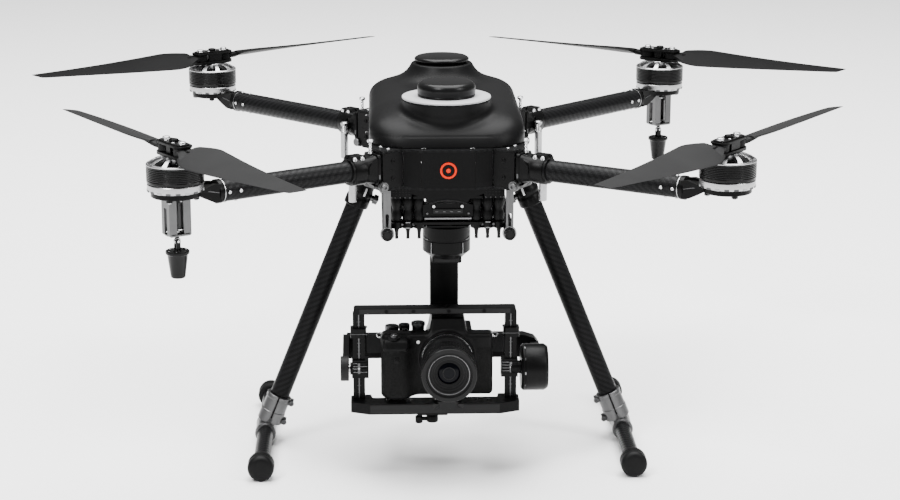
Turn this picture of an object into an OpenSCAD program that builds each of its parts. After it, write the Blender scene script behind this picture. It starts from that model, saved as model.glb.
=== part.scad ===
// Four-rotor camera drone with folding arms, a skid landing gear and a three-axis camera gimbal.
// Millimetres, +Z up, the nose faces -Y and the left-hand side, seen from in front, is -X.
// The origin is on the ground, midway between the skids and midway between the four motors.

/* [Airframe] */
// Distance between neighbouring motor axes
motor_spacing = 600; // [590:1:620]
// Height of the arm tubes' centre lines above the ground
arm_z = 383; // [380:0.5:386]
// Outside diameter of an arm tube
arm_tube_d = 25; // [24:0.5:26]
// Wall thickness of an arm tube
arm_tube_wall = 1.5; // [1:0.1:2.5]
// Width of the hinge blocks at the four corners
hinge_block_w = 30; // [28:1:32]
// Thickness of the top and bottom plates
plate_t = 2.5; // [2:0.1:3]

/* [Rotors] */
// Radius of a motor's bell
bell_r = 31.4; // [30:0.1:32]
// Radius of the propeller disc, from the motor axis to a blade's tip
prop_r = 267; // [260:1:276]
// Widest chord of a blade
blade_chord = 50; // [40:1:54]
// Distance from the motor axis to a blade's pivot
blade_pivot_r = 18; // [17:0.5:20]

/* [Landing gear] */
// Distance from the centre plane to a skid's axis
skid_x = 223; // [210:1:235]
// Outside diameter of a leg tube
leg_d = 24; // [22:0.5:25]
// Outside diameter of a skid tube
skid_d = 19.5; // [18:0.5:20]
// Radius of the rubber feet
foot_r = 16; // [15:0.5:18]
// Length of a skid with its feet
skid_len = 308; // [290:2:330]

/* [Payload] */
// Distance from the centre plane to a payload rail
rail_x = 70.5; // [70:0.5:72]
// Diameter of the payload rails
rail_d = 12; // [11.8:0.1:12]
// Height of the payload rails' axes
rail_z = 307; // [305:0.5:309]
// Height of the gimbal's tilt axis
tilt_z = 129; // [128:0.5:130]
// Width of the camera's body
camera_w = 132; // [130:1:133]

/* [Hidden] */
$fn = 48;

eps = 0.01;
gap = 0.3;                       // clearance between parts that turn past each other
running = 0.05;                  // radial clearance of a pin in its bore

// Corner letters: which end and which side of the drone an arm belongs to.
FL = [-1, -1];
FR = [1, -1];
RL = [-1, 1];
RR = [1, 1];

half_span = motor_spacing / 2;
hinge_front = [84, 160];         // distance of a front hinge from the centre planes
hinge_rear = [95, 95];           // distance of a rear hinge from the centre planes
function hinge_at(c) = c[1] < 0 ? hinge_front : hinge_rear;
function arm_dx(c) = half_span - hinge_at(c)[0];
function arm_dy(c) = half_span - hinge_at(c)[1];
function arm_len(c) = norm([arm_dx(c), arm_dy(c)]);
function arm_turn(c) = atan2(arm_dy(c) * c[1], arm_dx(c));

chassis_bot = 358;               // underside of the bottom plate
chassis_top = 402;               // underside of the top plate
bottom_top = chassis_bot + plate_t;
deck_z = chassis_top + plate_t;  // top face of the top plate
pin_z = 363.5;                   // height of the arm hinges' pins
pin_r = 3;
lug_r = 5.5;                     // radius of the hinge knuckles
lug_w = 12;                      // width of the arm's knuckle
block_in = 28;                   // how far a hinge block reaches in from its pin
clamp_len = 38;                  // length of the clamp on an arm tube
clamp_r = 16.5;
mount_z = 391;                   // top face of a motor mount
tube_out = 54;                   // tube ends this far from the motor axis
tube_r = arm_tube_d / 2;
tube_in_r = tube_r - arm_tube_wall;

bell_bot = 400.5;
bell_top = 420.5;
shaft_r = 3;
hub_z = 428.5;                   // underside of the propeller hub
hub_plate = 3.5;
hub_gap = 9.2;                   // space between the hub's two plates
blade_root_h = hub_gap - 2 * gap;
blade_mid_z = hub_z + hub_plate + hub_gap / 2;
hub_r = 11;
bolt_r = 2.5;

leg_top = [85, 360];             // x and z of a leg's upper axis point
leg_run = [skid_x - leg_top[0], leg_top[1] - foot_r];
leg_len = norm(leg_run);
leg_lean = atan2(leg_run[0], leg_run[1]);

pan_y = -95;                     // y of the gimbal's pan axis
tilt_y = -115;                   // y of the gimbal's tilt axis
roll_z = 138;                    // height of the gimbal's roll axis
cage_left = -105;                // x of the cage's two rods
cage_right = 76;
cam_left = -77.5;
cam_bot = 97;
lens_z = 144;

// ---------- placing helpers ----------

// Arm frame: origin on the ground under the hinge pin, +X out along the arm.
// Arms on the left are built as they are, and those on the right are mirrored.
module in_arm(c) {
    mirror([c[0] > 0 ? 1 : 0, 0, 0])
        translate([-hinge_at(c)[0], hinge_at(c)[1] * c[1], 0])
            rotate(180 - arm_turn(c))
                children();
}

module at_motor(c) {
    translate([half_span * c[0], half_span * c[1], 0]) children();
}

module mirrored_x() {
    children();
    mirror([1, 0, 0]) children();
}

// Leg frame on the right: +Z runs down the leg from its upper axis point.
module in_leg() {
    translate([leg_top[0], 0, leg_top[1]]) rotate([0, 180 - leg_lean, 0]) children();
}

module along_x(h, r) {
    rotate([0, 90, 0]) cylinder(h = h, r = r);
}

module along_y(h, r) {
    rotate([-90, 0, 0]) cylinder(h = h, r = r);
}

// Flat bar with round ends, centred on the origin, along X.
module stadium(len, r, h) {
    translate([-len / 2, -r, 0]) cube([len, 2 * r, h]);
    for (s = [-1, 1]) translate([s * len / 2, 0, 0]) cylinder(h = h, r = r);
}

// ---------- chassis ----------

// Point in plan, on the right-hand side, given in a corner's arm frame.
// u runs out along the arm and v runs towards the drone's middle plane y = 0.
function corner_point(c, u, v) =
    let (a = arm_turn(c), h = hinge_at(c))
    [h[0] + u * cos(a) + v * sin(a) * c[1], h[1] * c[1] + u * sin(a) - v * cos(a) * c[1]];

side_x = 91;                     // half width of the chassis plates
tail_y = 132;                    // rear edge of the chassis plates
nose_y = -168;                   // front edge of the chassis plates

// Right-hand half of a plate's outline; reach is the edge's distance in from the hinge pins.
function plate_half(reach) = let (w = hinge_block_w / 2) [
    [31, nose_y],
    corner_point(FR, -block_in, -w),
    corner_point(FR, -reach, -w),
    corner_point(FR, -reach, w),
    [side_x, -120],
    [side_x, 70],
    corner_point(RR, -reach, w),
    corner_point(RR, -reach, -w),
    [60, tail_y]];

function mirror_back(pts) = [for (i = [len(pts) - 1 : -1 : 0]) [-pts[i][0], pts[i][1]]];

module plate_outline(reach) {
    half = plate_half(reach);
    polygon(concat(half, mirror_back(half)));
}

module top_plate() {
    color("#1b1c1e") translate([0, 0, chassis_top]) difference() {
        linear_extrude(plate_t) plate_outline(1);
        for (x = [-30, 30]) translate([x, 100, -eps]) cylinder(h = plate_t + 1, r = 8);
    }
}

module bottom_plate() {
    color("#1b1c1e") translate([0, 0, chassis_bot]) difference() {
        linear_extrude(plate_t) plate_outline(8);
        for (x = [-30, 30], y = [-20, 90]) translate([x, y, -eps]) cylinder(h = plate_t + 1, r = 10);
    }
}

// Angled front wall between the two plates.
module front_panel() {
    wall = 2;
    color("#0f1011") translate([0, 0, bottom_top]) linear_extrude(chassis_top - bottom_top) {
        polygon([
            [-51, -158], [-31, nose_y], [31, nose_y], [51, -158],
            [50, -158 + wall + 0.4], [30.5, nose_y + wall], [-30.5, nose_y + wall], [-50, -158 + wall + 0.4]]);
    }
}

// Rounded hood; inset shrinks it evenly for the hollow inside.
// Each ring: height above the deck, how far it draws in, and how far its front is set back.
canopy_rings = [
    [0, 0, 0], [16, 0, 0], [21, 1, 4], [25, 2.5, 12], [32, 7, 32], [37, 15, 50], [41, 25, 64], [44, 36, 76]];
canopy_corners = [[38, -108, 50], [0, -82, 84], [44, 98, 45], [5, 20, 85]];
module canopy_hull(inset) {
    hull() for (ring = canopy_rings, p = canopy_corners, s = [-1, 1])
        translate([s * p[0], p[1] + (p[1] < -50 ? ring[2] : 0), ring[0] - (ring[0] > 20 ? inset : 0)])
            cylinder(h = 0.5, r = p[2] - ring[1] - inset, $fn = 40);
}

boss_y = -95;                    // centre of the front boss
boss_top = 452.5;
boss_r = 52;
tower_y = 84;                    // centre of the rear antenna tower
tower_top = 465;
tower_base = 440;
module canopy_boss(inset) {
    base = 412;
    translate([0, boss_y, base])
        cylinder(h = boss_top - base - inset, r1 = 30 - inset, r2 = boss_r - inset, $fn = 64);
}

module canopy_tower(inset) {
    translate([0, tower_y, tower_base])
        cylinder(h = tower_top - tower_base - inset, r1 = 54 - inset, r2 = 42 - inset, $fn = 64);
}

module canopy() {
    shell = 2.2;
    color("#2c2d2f") difference() {
        union() {
            translate([0, 0, deck_z]) canopy_hull(0);
            canopy_boss(0);
            canopy_tower(0);
        }
        translate([0, 0, deck_z - 1]) canopy_hull(shell);
        translate([0, 0, -eps]) canopy_tower(shell);
        translate([0, boss_y, boss_top]) cylinder(h = 20, r = boss_r + 0.5);
    }
}

ring_t = 2.5;
module gnss_ring() {
    color("#c9cacc") translate([0, boss_y, boss_top]) difference() {
        cylinder(h = ring_t, r = boss_r, $fn = 96);
        translate([0, 0, -eps]) cylinder(h = ring_t + 1, r = 33, $fn = 96);
    }
}

puck_r = 34;
puck_h = 18;
module gnss_puck() {
    rim = 7;
    color("#222325") translate([0, boss_y, boss_top + ring_t]) rotate_extrude($fn = 96) {
        square([puck_r, puck_h - rim]);
        square([puck_r - rim, puck_h]);
        translate([puck_r - rim, puck_h - rim]) intersection() {
            circle(r = rim);
            square(rim);
        }
    }
}

module rear_antenna() {
    color("#1e1f21") translate([0, tower_y, tower_top]) rotate_extrude($fn = 96)
        polygon([[0, 0], [30, 0], [30, 1.5], [34, 3], [34, 5], [31, 7.2], [16, 8.6], [0, 9]]);
}

module battery() {
    size = [92, 144, 38];
    color("#2f4a6b") translate([-size[0] / 2, -54, deck_z]) cube(size);
}

module flight_controller() {
    color("#3a3b3d") {
        translate([-22, -50, bottom_top]) cube([44, 84, 6]);
        translate([-20, -46, bottom_top + 6]) cube([40, 76, 18]);
    }
}

// ---------- arm hinges ----------

module hinge_bracket(c) {
    w = hinge_block_w;
    ear = (w - lug_w) / 2 - gap;
    in_arm(c) difference() {
        union() {
            translate([-block_in, -w / 2, bottom_top]) cube([block_in - 1, w, chassis_top - bottom_top]);
            for (s = [-1, 1]) translate([0, s > 0 ? w / 2 - ear : -w / 2, pin_z]) along_y(ear, lug_r);
            for (s = [-1, 1]) translate([-8, s > 0 ? w / 2 - ear : -w / 2, pin_z - lug_r])
                cube([8, ear, 2 * lug_r]);
        }
        translate([0, -lug_w / 2 - gap, pin_z]) along_y(lug_w + 2 * gap, lug_r + 1);
        translate([0, -w, pin_z]) along_y(2 * w, pin_r);
        translate([-block_in + 7, -w / 2 + 5, bottom_top + 6]) cube([14, w - 10, 32]);
    }
}

module hinge_brackets() {
    color("#141516") for (c = [FL, FR, RL, RR]) hinge_bracket(c);
}

// The pin's knurled nut sits on the side away from the arm's lock bar.
module hinge_pin(c) {
    w = hinge_block_w;
    in_arm(c) translate([0, 0, pin_z]) {
        translate([0, -w / 2 - 2, 0]) along_y(w + 4, pin_r);
        translate([0, -c[1] * (w / 2 + 3.5) - 3.5, 0]) along_y(7, 6.2);
        translate([0, c[1] * (w / 2 + 1.5) - 1.5, 0]) along_y(3, 5);
    }
}

module hinge_pins() {
    color("#c4c6c8") for (c = [FL, FR, RL, RR]) hinge_pin(c);
}

// Clamp on the inner end of the arm tube, with the hinge knuckle under it.
module arm_clamp(c) {
    w = hinge_block_w;
    difference() {
        union() {
            translate([1.5, -w / 2, pin_z + 2]) cube([18, w, chassis_top - pin_z - 3]);
            translate([1.5, 0, arm_z]) along_x(clamp_len - 1.5, clamp_r);
            translate([18, -7, arm_z + 10]) cube([clamp_len - 18, 14, 8.5]);
            translate([0, -lug_w / 2, pin_z]) along_y(lug_w, lug_r);
            translate([0, -lug_w / 2, pin_z]) cube([9, lug_w, 9]);
        }
        translate([6, 0, arm_z]) along_x(clamp_len, tube_r);
        translate([0, -w / 2 - 1, pin_z]) along_y((w - lug_w) / 2 + 1, lug_r + 1);
        translate([0, lug_w / 2, pin_z]) along_y((w - lug_w) / 2 + 1, lug_r + 1);
        translate([0, -w, pin_z]) along_y(2 * w, pin_r + running);
        translate([22, -1, arm_z + tube_r - 1]) cube([clamp_len, 2, 20]);
    }
    translate([6, 0, chassis_top - 1]) {
        cylinder(h = 13, r = 2);
        translate([0, 0, 12]) cylinder(h = 5, r = 3.8);
    }
    translate([17.3, c[1] * (clamp_r + 4.3), pin_z - 22]) cylinder(h = 47, r = 4.7);
    translate([17.3 - 3, c[1] > 0 ? w / 2 - 2.4 : -w / 2 - 1, arm_z - 6]) cube([6, 3.4, 10]);
}

// Plug in the outer end of the tube, and the plate that the motor sits on.
module motor_mount(c) {
    reach = arm_len(c);
    plug = 26;
    translate([reach - tube_out - plug, 0, arm_z]) along_x(plug + 2, tube_in_r);
    translate([reach - tube_out, 0, arm_z]) along_x(6, tube_r + 1);
    difference() {
        union() {
            translate([reach - tube_out + 4, -12, arm_z - 6]) cube([24, 24, 12]);
            translate([reach - tube_out + 10, -11, mount_z - 7]) cube([tube_out - 10, 22, 7]);
            translate([reach, 0, mount_z - 7]) cylinder(h = 7, r = 27);
        }
        translate([reach - tube_out + 14, -5, arm_z - 10]) cube([16, 10, 30]);
        for (a = [45 : 90 : 315]) translate([reach, 0, 0]) rotate(a)
            translate([17, 0, mount_z - 8]) cylinder(h = 9, r = 1.6);
    }
}

module arm_fittings(c) {
    color("#151617") in_arm(c) {
        arm_clamp(c);
        motor_mount(c);
    }
}

module arm_tube(c) {
    color("#26282a") in_arm(c) translate([6, 0, arm_z]) difference() {
        along_x(arm_len(c) - tube_out - 6, tube_r);
        translate([-1, 0, 0]) along_x(arm_len(c), tube_in_r);
    }
}

// ---------- motors and propellers ----------

module stator(c) {
    teeth = 12;
    color("#b9bbbd") at_motor(c) difference() {
        union() {
            translate([0, 0, mount_z]) cylinder(h = 8.5, r = bell_r - 0.6);
            translate([0, 0, mount_z]) cylinder(h = 28, r = 12);
            difference() {
                translate([0, 0, mount_z + 10]) cylinder(h = 15, r = 24.5);
                for (i = [0 : teeth - 1]) rotate(i * 360 / teeth)
                    translate([13, -1.6, mount_z + 9]) cube([14, 3.2, 18]);
            }
        }
        translate([0, 0, mount_z - 1]) cylinder(h = 40, r = shaft_r + running);
        for (i = [0 : 7]) rotate(i * 45 + 22.5) translate([22, -3, mount_z - 1]) cube([5, 6, 9.6]);
    }
}

module motor_bell(c) {
    spokes = 10;
    color("#2a2b2c") at_motor(c) {
        translate([0, 0, bell_bot]) difference() {
            cylinder(h = bell_top - bell_bot, r = bell_r, $fn = 72);
            translate([0, 0, -1]) cylinder(h = bell_top - bell_bot + 2, r = bell_r - 5);
        }
        translate([0, 0, bell_top]) {
            difference() {
                cylinder(h = 3.5, r = bell_r, $fn = 72);
                translate([0, 0, -1]) cylinder(h = 6, r = bell_r - 6);
            }
            for (i = [0 : spokes - 1]) rotate(i * 360 / spokes)
                translate([9, -2, 0]) cube([bell_r - 12, 4, 3.5]);
            cylinder(h = 5, r = 11);
        }
        translate([0, 0, mount_z + 1]) cylinder(h = hub_z - mount_z - 1, r = shaft_r);
    }
}

// Two clamp plates on a post, with the two bolts that the blades turn on.
module prop_hub(c, turn) {
    top = hub_z + hub_plate + hub_gap;
    color("#101112") at_motor(c) rotate(turn) {
        translate([0, 0, hub_z]) stadium(2 * blade_pivot_r, hub_r, hub_plate);
        translate([0, 0, top]) stadium(2 * blade_pivot_r, hub_r, hub_plate);
        translate([0, 0, hub_z + hub_plate]) cylinder(h = hub_gap, r = 6);
        for (s = [-1, 1]) translate([s * blade_pivot_r, 0, hub_z + hub_plate]) {
            cylinder(h = hub_gap, r = bolt_r);
            translate([0, 0, hub_gap + hub_plate]) cylinder(h = 2.8, r = 4.2);
        }
        translate([0, 0, top + hub_plate]) cylinder(h = 3, r = 5);
    }
}

// Blade sections: t runs from 0 at the root to 1 at the tip.
blade_start = 14;                // where the aerofoil starts, from the blade's pivot
blade_rings = 16;
blade_sides = 12;
widest = 0.16;
root_chord = 30;
tip_chord = 17;
function chord_at(t) = t < widest
    ? root_chord + (blade_chord - root_chord) * sin(90 * t / widest)
    : blade_chord - (blade_chord - tip_chord) * pow((t - widest) / (1 - widest), 1.1);
function twist_at(t) = 18 - 11 * t;
function thick_at(t) = 7.5 - 5.7 * pow(t, 0.6);
function tip_cut(t, y) = t == 1 ? -9 * (0.5 - y) : 0;
function blade_point(t, k, hand) =
    let (
        a = 360 * k / blade_sides,
        y = 0.5 * cos(a),
        z = 0.5 * sin(a) * (1 + 0.45 * cos(a)),
        c = chord_at(t),
        w = twist_at(t),
        cy = y * c - 0.06 * blade_chord * sin(180 * t),
        cz = z * thick_at(t) * (z < 0 ? 0.5 : 1),
        run = blade_start + t * (prop_r - blade_pivot_r - blade_start))
    [run + tip_cut(t, y), hand * (cy * cos(w) - cz * sin(w)), cy * sin(w) + cz * cos(w) + 1.5 * t];

module blade_foil(hand) {
    n = blade_sides;
    pts = [for (i = [0 : blade_rings], k = [0 : n - 1]) blade_point(i / blade_rings, hand > 0 ? k : n - k, hand)];
    sides = [for (i = [0 : blade_rings - 1], k = [0 : n - 1], h = [0, 1])
        let (a = i * n + k, b = i * n + (k + 1) % n)
        h == 0 ? [a, a + n, b] : [b, a + n, b + n]];
    root = [[for (k = [0 : n - 1]) k]];
    tip = [[for (k = [n - 1 : -1 : 0]) blade_rings * n + k]];
    polyhedron(points = pts, faces = concat(sides, root, tip));
}

// A blade lies along its hub's +X for side = 1 and along -X for side = -1.
module blade(c, turn, side) {
    hand = c[0] * c[1] > 0 ? 1 : -1;
    color("#202224") at_motor(c) rotate(turn + (side < 0 ? 180 : 0))
        translate([blade_pivot_r, 0, blade_mid_z]) {
            difference() {
                union() {
                    translate([0, 0, -blade_root_h / 2]) cylinder(h = blade_root_h, r = 9.5);
                    translate([0, -8, -blade_root_h / 2 + 1]) cube([16, 16, blade_root_h - 2]);
                }
                translate([0, 0, -10]) cylinder(h = 20, r = bolt_r + running);
            }
            blade_foil(hand);
        }
}

// How far each propeller is turned about its motor.
turn_fl = 122.5;
turn_fr = 52.5;
turn_rl = 36;
turn_rr = 146;

// ---------- hanging antennas ----------

antenna_turn = 30;
bracket_bot = 341;
link_z = 334;                    // height of the eye that the antenna swings on

module antenna_bracket(c) {
    w = 26;
    d = 20;
    t = 2;
    under = mount_z - 7;
    color("#a9abad") at_motor(c) rotate(antenna_turn) {
        difference() {
            translate([-w / 2, -d / 2, bracket_bot]) cube([w, d, under - bracket_bot]);
            translate([-w / 2 + t, -d, bracket_bot + t]) cube([w - 2 * t, 2 * d, under - bracket_bot - 2 * t]);
        }
        translate([0, 0, link_z + 3.2]) cylinder(h = bracket_bot - link_z - 3.2, r = 2.4);
        translate([0, -1.2, link_z]) difference() {
            along_y(2.4, 4.4);
            translate([0, -1, 0]) along_y(5, 2);
        }
    }
}

module antenna(c) {
    color("#121314") at_motor(c) rotate(antenna_turn) {
        translate([0, -3.4, link_z]) along_y(6.8, 1.9);
        for (s = [-1, 1]) translate([-2, s * 2.4 - 0.9, link_z - 10]) cube([4, 1.8, 10]);
        translate([0, 0, 293]) rotate_extrude()
            polygon([[0, 0], [8, 0], [9, 1], [11.6, 26], [13.2, 27], [13.2, 30], [12, 31], [3, 31], [0, 33]]);
    }
}

// ---------- payload rails ----------

rail_front = -180;
rail_back = 122;
hanger_ys = [-170, 62];

// Each rail has a groove behind each hanger for the clip that keeps it in place.
module rails() {
    color("#232426") mirrored_x() translate([rail_x, rail_front, rail_z]) difference() {
        along_y(rail_back - rail_front, rail_d / 2);
        translate([0, -1, 0]) along_y(rail_back - rail_front + 2, rail_d / 2 - 1.5);
        for (y = hanger_ys) translate([0, y - rail_front + 5, 0]) difference() {
            along_y(1.5, rail_d / 2 + 1);
            translate([0, -1, 0]) along_y(4, rail_d / 2 - 0.5);
        }
    }
}

module rail_hangers() {
    t = 4;
    w = 8.7;
    color("#b4b6b8") mirrored_x() for (y = hanger_ys) translate([rail_x, y, 0]) difference() {
        union() {
            translate([-w / 2, 0, rail_z]) cube([w, t, chassis_bot - 2 - rail_z]);
            translate([0, 0, rail_z]) along_y(t, 8.6);
            translate([-w / 2, 0, chassis_bot - 2]) cube([w, 26, 2]);
        }
        translate([0, -2, rail_z]) along_y(t + 4, rail_d / 2);
        translate([0, -2, rail_z + 13]) along_y(t + 4, 2.4);
    }
}

// ---------- vibration isolator ----------

damper_xs = [33.3, 46.4, 59.5];
damper_ys = [-142, -48];
upper_z = 344;                   // underside of the plate fixed to the chassis
lower_z = 313;                   // underside of the plate that carries the gimbal

module isolator_plates() {
    color("#1a1b1c") {
        difference() {
            union() {
                translate([-66, -152, upper_z]) cube([132, 114, 3]);
                mirrored_x() for (y = damper_ys) translate([50, y, upper_z]) cylinder(h = chassis_bot - upper_z, r = 6);
            }
            translate([-26, -130, upper_z - 1]) cube([52, 70, 5]);
            mirrored_x() for (x = damper_xs, y = damper_ys)
                translate([x, y, upper_z - 1]) cylinder(h = 2, r = 3);
        }
        difference() {
            union() {
                translate([-66, -152, lower_z]) cube([132, 114, 3]);
                translate([0, pan_y, lower_z - 10]) cylinder(h = 16, r = 27);
                translate([-24, pan_y - 20, lower_z + 6]) cube([48, 40, 12]);
            }
            mirrored_x() for (x = damper_xs, y = damper_ys)
                translate([x, y, lower_z - 1]) cylinder(h = 5, r = 3);
            translate([0, pan_y, lower_z - 11]) cylinder(h = 25, r = gimbal_shaft_r + running);
        }
    }
}

module dampers() {
    color("#0d0d0e") mirrored_x() for (x = damper_xs, y = damper_ys) translate([x, y, 0])
        rotate_extrude($fn = 24) polygon([
            [0, 295], [2.6, 295], [3.2, 300], [3, lower_z], [3, lower_z + 3], [5.6, lower_z + 3],
            [6, lower_z + 9], [4, lower_z + 15], [6, lower_z + 22], [5.6, upper_z], [3, upper_z],
            [3, upper_z + 1], [0, upper_z + 1]]);
}

// ---------- landing gear ----------

socket_len = 62;
module leg_sockets() {
    color("#161718") mirrored_x() difference() {
        union() {
            intersection() {
                in_leg() cylinder(h = socket_len, r = 15);
                translate([0, -50, 0]) cube([300, 100, chassis_bot]);
            }
            translate([72, -22, chassis_bot - 8]) cube([32, 44, 8]);
        }
        in_leg() translate([0, 0, 12]) cylinder(h = socket_len, r = leg_d / 2);
    }
}

module leg_tubes() {
    leg_end = 15;
    color("#24262a") mirrored_x() {
        in_leg() difference() {
            translate([0, 0, 12]) cylinder(h = leg_len - leg_end - 12, r = leg_d / 2);
            translate([0, 0, 11]) cylinder(h = leg_len, r = leg_d / 2 - 1.5);
        }
        translate([skid_x, -skid_len / 2 + 8, foot_r]) difference() {
            along_y(skid_len - 16, skid_d / 2);
            translate([0, -1, 0]) along_y(skid_len, skid_d / 2 - 1.5);
        }
    }
}

module skid_tees() {
    grip = 36;
    color("#b7b9bb") mirrored_x() difference() {
        union() {
            in_leg() translate([0, 0, leg_len - 12 - grip]) cylinder(h = grip + 6, r = 15.5);
            translate([skid_x, -22, foot_r]) along_y(44, 13);
        }
        in_leg() cylinder(h = leg_len - 15, r = leg_d / 2);
        translate([skid_x, -50, foot_r]) along_y(100, skid_d / 2);
    }
}

module skid_feet() {
    foot = 26;
    color("#0e0e0f") mirrored_x() for (s = [-1, 1])
        translate([skid_x, s * (skid_len / 2), foot_r]) rotate([s * 90, 0, 0]) difference() {
            rotate_extrude($fn = 64) polygon([
                [0, 0], [11, 0], [14.6, 1.6], [foot_r, 5], [foot_r, foot - 6], [14, foot - 1], [12, foot], [0, foot]]);
            translate([0, 0, 8]) cylinder(h = foot, r = skid_d / 2);
        }
}

// ---------- gimbal ----------

pan_top = 302;
pan_bot = 268;
boom_w = 35;
boom_back = 6;                   // rear face of the drop arm behind the camera
roll_motor_y = -20;              // front face of the roll motor
gimbal_shaft_r = 5;
module yaw_arm() {
    color("#17181a") difference() {
        union() {
            translate([0, pan_y, pan_bot]) cylinder(h = pan_top - pan_bot, r = 28.3, $fn = 64);
            translate([0, pan_y, pan_top - 1]) cylinder(h = 20, r = gimbal_shaft_r);
            translate([0, pan_y, pan_bot - 6]) cylinder(h = 6, r = 22);
            translate([-boom_w / 2, pan_y, pan_bot - 12]) cube([boom_w, boom_back - pan_y, 14]);
            translate([-boom_w / 2, boom_back - 14, roll_z - 12]) cube([boom_w, 14, pan_bot - roll_z + 14]);
            translate([0, roll_motor_y, roll_z]) along_y(boom_back - roll_motor_y, 23);
        }
        translate([0, roll_motor_y - 1, roll_z]) along_y(17, gimbal_shaft_r + running);
    }
}

bar_y = -46;                     // front face of the roll bar
bar_t = 18;
bar_left = -125;
tilt_disc_r = 15;
tilt_motor_x = 88;
tilt_motor_r = 28;
module roll_arm() {
    bar_w = 245;
    bar_bot = 122;
    color("#121314") {
        translate([bar_left, bar_y, bar_bot]) cube([bar_w, bar_t, 33]);
        translate([0, bar_y + bar_t - 1, roll_z]) along_y(roll_motor_y - gap - bar_y - bar_t + 1, 20);
        translate([0, roll_motor_y - 1, roll_z]) along_y(15, gimbal_shaft_r);
        difference() {
            union() {
                translate([bar_left, tilt_y, bar_bot]) cube([8, bar_y - tilt_y + 4, 26]);
                translate([bar_left - 2, tilt_y, tilt_z]) along_x(10, tilt_disc_r);
            }
            translate([bar_left + 3, tilt_y, tilt_z]) along_x(10, gimbal_shaft_r + running);
        }
        difference() {
            union() {
                translate([tilt_motor_x, tilt_y, tilt_z]) along_x(32, tilt_motor_r);
                translate([tilt_motor_x + 17, tilt_y, bar_bot]) cube([15, bar_y - tilt_y + 4, 30]);
            }
            translate([tilt_motor_x - 1, tilt_y, tilt_z]) along_x(12, 8 + running);
        }
    }
}

// Frame that holds the camera and turns on the tilt axis.
module cage() {
    rod_y = tilt_y + 3;
    plate_x = [-115, 86];
    color("#1b1c1d") difference() {
        union() {
            for (x = [cage_left, cage_right]) translate([x - 7, rod_y - 6, 88]) cube([14, 12, 112]);
            translate([-111, rod_y - 8, 196]) cube([193, 16, 8]);
            translate([plate_x[0], -138, 78]) cube([plate_x[1] - plate_x[0], 54, 13]);
            translate([cage_left - 8.5, rod_y - 9, 168]) cube([19, 18, 11]);
            translate([cage_right - 10.5, rod_y - 9, 168]) cube([19, 18, 11]);
            translate([cage_left - 8.5, rod_y - 9, 118]) cube([20, 18, 22]);
            translate([cage_right - 11.5, rod_y - 9, 118]) cube([20, 18, 22]);
            translate([-40, -130, 90.5]) cube([70, 44, cam_bot - 90.5]);
            translate([-50, -139.5, 75]) cube([62, 30, 4]);
            translate([bar_left + 4, tilt_y, tilt_z]) along_x(cage_left - bar_left - 4, gimbal_shaft_r);
            translate([cage_right, tilt_y, tilt_z]) along_x(tilt_motor_x + 10 - cage_right, 8);
        }
        for (x = [-72, -40, 2, 44]) translate([x, rod_y - 20, 200]) along_y(40, 2.2);
        translate([lever_pivot[0], lever_pivot[1], 70]) cylinder(h = 18.5, r = lever_pin_r + running);
    }
}

module camera_body() {
    deck = 173;
    front = -124;
    back = -66;
    w = camera_w;
    color("#19191b") difference() {
        union() {
            translate([cam_left, front, cam_bot]) cube([w, back - front, deck - cam_bot]);
            translate([cam_left, front - 14, cam_bot - 3]) cube([30, 30, deck - cam_bot + 1]);
            translate([-14, front + 8, deck - 4]) cube([50, back - front - 12, 7]);
            translate([1, 0, 0]) hull() {
                translate([-23, front + 4, deck - 6]) cube([46, 46, 8]);
                translate([-19, front + 10, deck - 6]) cube([38, 34, 24]);
            }
            translate([0, front - 5, lens_z]) along_y(8, 31);
        }
        translate([0, front - 6, lens_z]) along_y(30, 24);
        translate([dial_at[0], dial_at[1], deck - 2]) cylinder(h = 20, r = 7.5);
        translate([button_at[0], button_at[1], deck - 12]) cylinder(h = 20, r = 4.55);
    }
}

dial_at = [-34, -95];
button_at = [-63, -128];
lens_front = -196;
ring_back = -165;                // the focus ring lies between these two faces
ring_front = -186;
module lens_barrel() {
    color("#141415") translate([0, 0, lens_z]) difference() {
        union() {
            translate([0, -129 - 12, 0]) along_y(12, 29.5);
            translate([0, -164.5, 0]) along_y(24, 31);
            translate([0, lens_front + 4, 0]) along_y(30, 27);
            translate([0, lens_front, 0]) along_y(9.5, 32.3);
            translate([0, -130, 0]) along_y(26, 22);
        }
        translate([0, lens_front - 1, 0]) along_y(12, 27);
    }
    color("#2a3340") translate([0, lens_front + 11, lens_z]) along_y(3, 26.5);
}

module focus_ring() {
    color("#0f0f10") translate([0, ring_front, lens_z]) difference() {
        along_y(ring_back - ring_front, 33);
        translate([0, -1, 0]) along_y(ring_back - ring_front + 2, 27 + running);
    }
}

module mode_dial() {
    color("#222224") translate([dial_at[0], dial_at[1], 171.3]) {
        cylinder(h = 5, r = 7.45);
        translate([0, 0, 5]) cylinder(h = 4.5, r = 8.5, $fn = 60);
    }
}

module shutter_button() {
    color("#2b2b2d") translate([button_at[0], button_at[1], 167]) {
        cylinder(h = 7, r = 4.5);
        translate([0, 0, 7]) cylinder(h = 1.6, r = 4);
    }
}

lever_pivot = [-18, -128];
lever_pin_r = 3;
module plate_lever() {
    reach = 16;
    color("#8d8f91") translate([lever_pivot[0], lever_pivot[1], 0]) {
        translate([0, 0, 66]) cylinder(h = 8.7, r = 7);
        translate([0, 0, 66]) cylinder(h = 22, r = lever_pin_r);
        translate([-reach, -3.5, 67]) cube([reach, 7, 5]);
        translate([-reach, 0, 64.5]) cylinder(h = 9, r = 4.5);
    }
}

// ---------- build ----------

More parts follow.
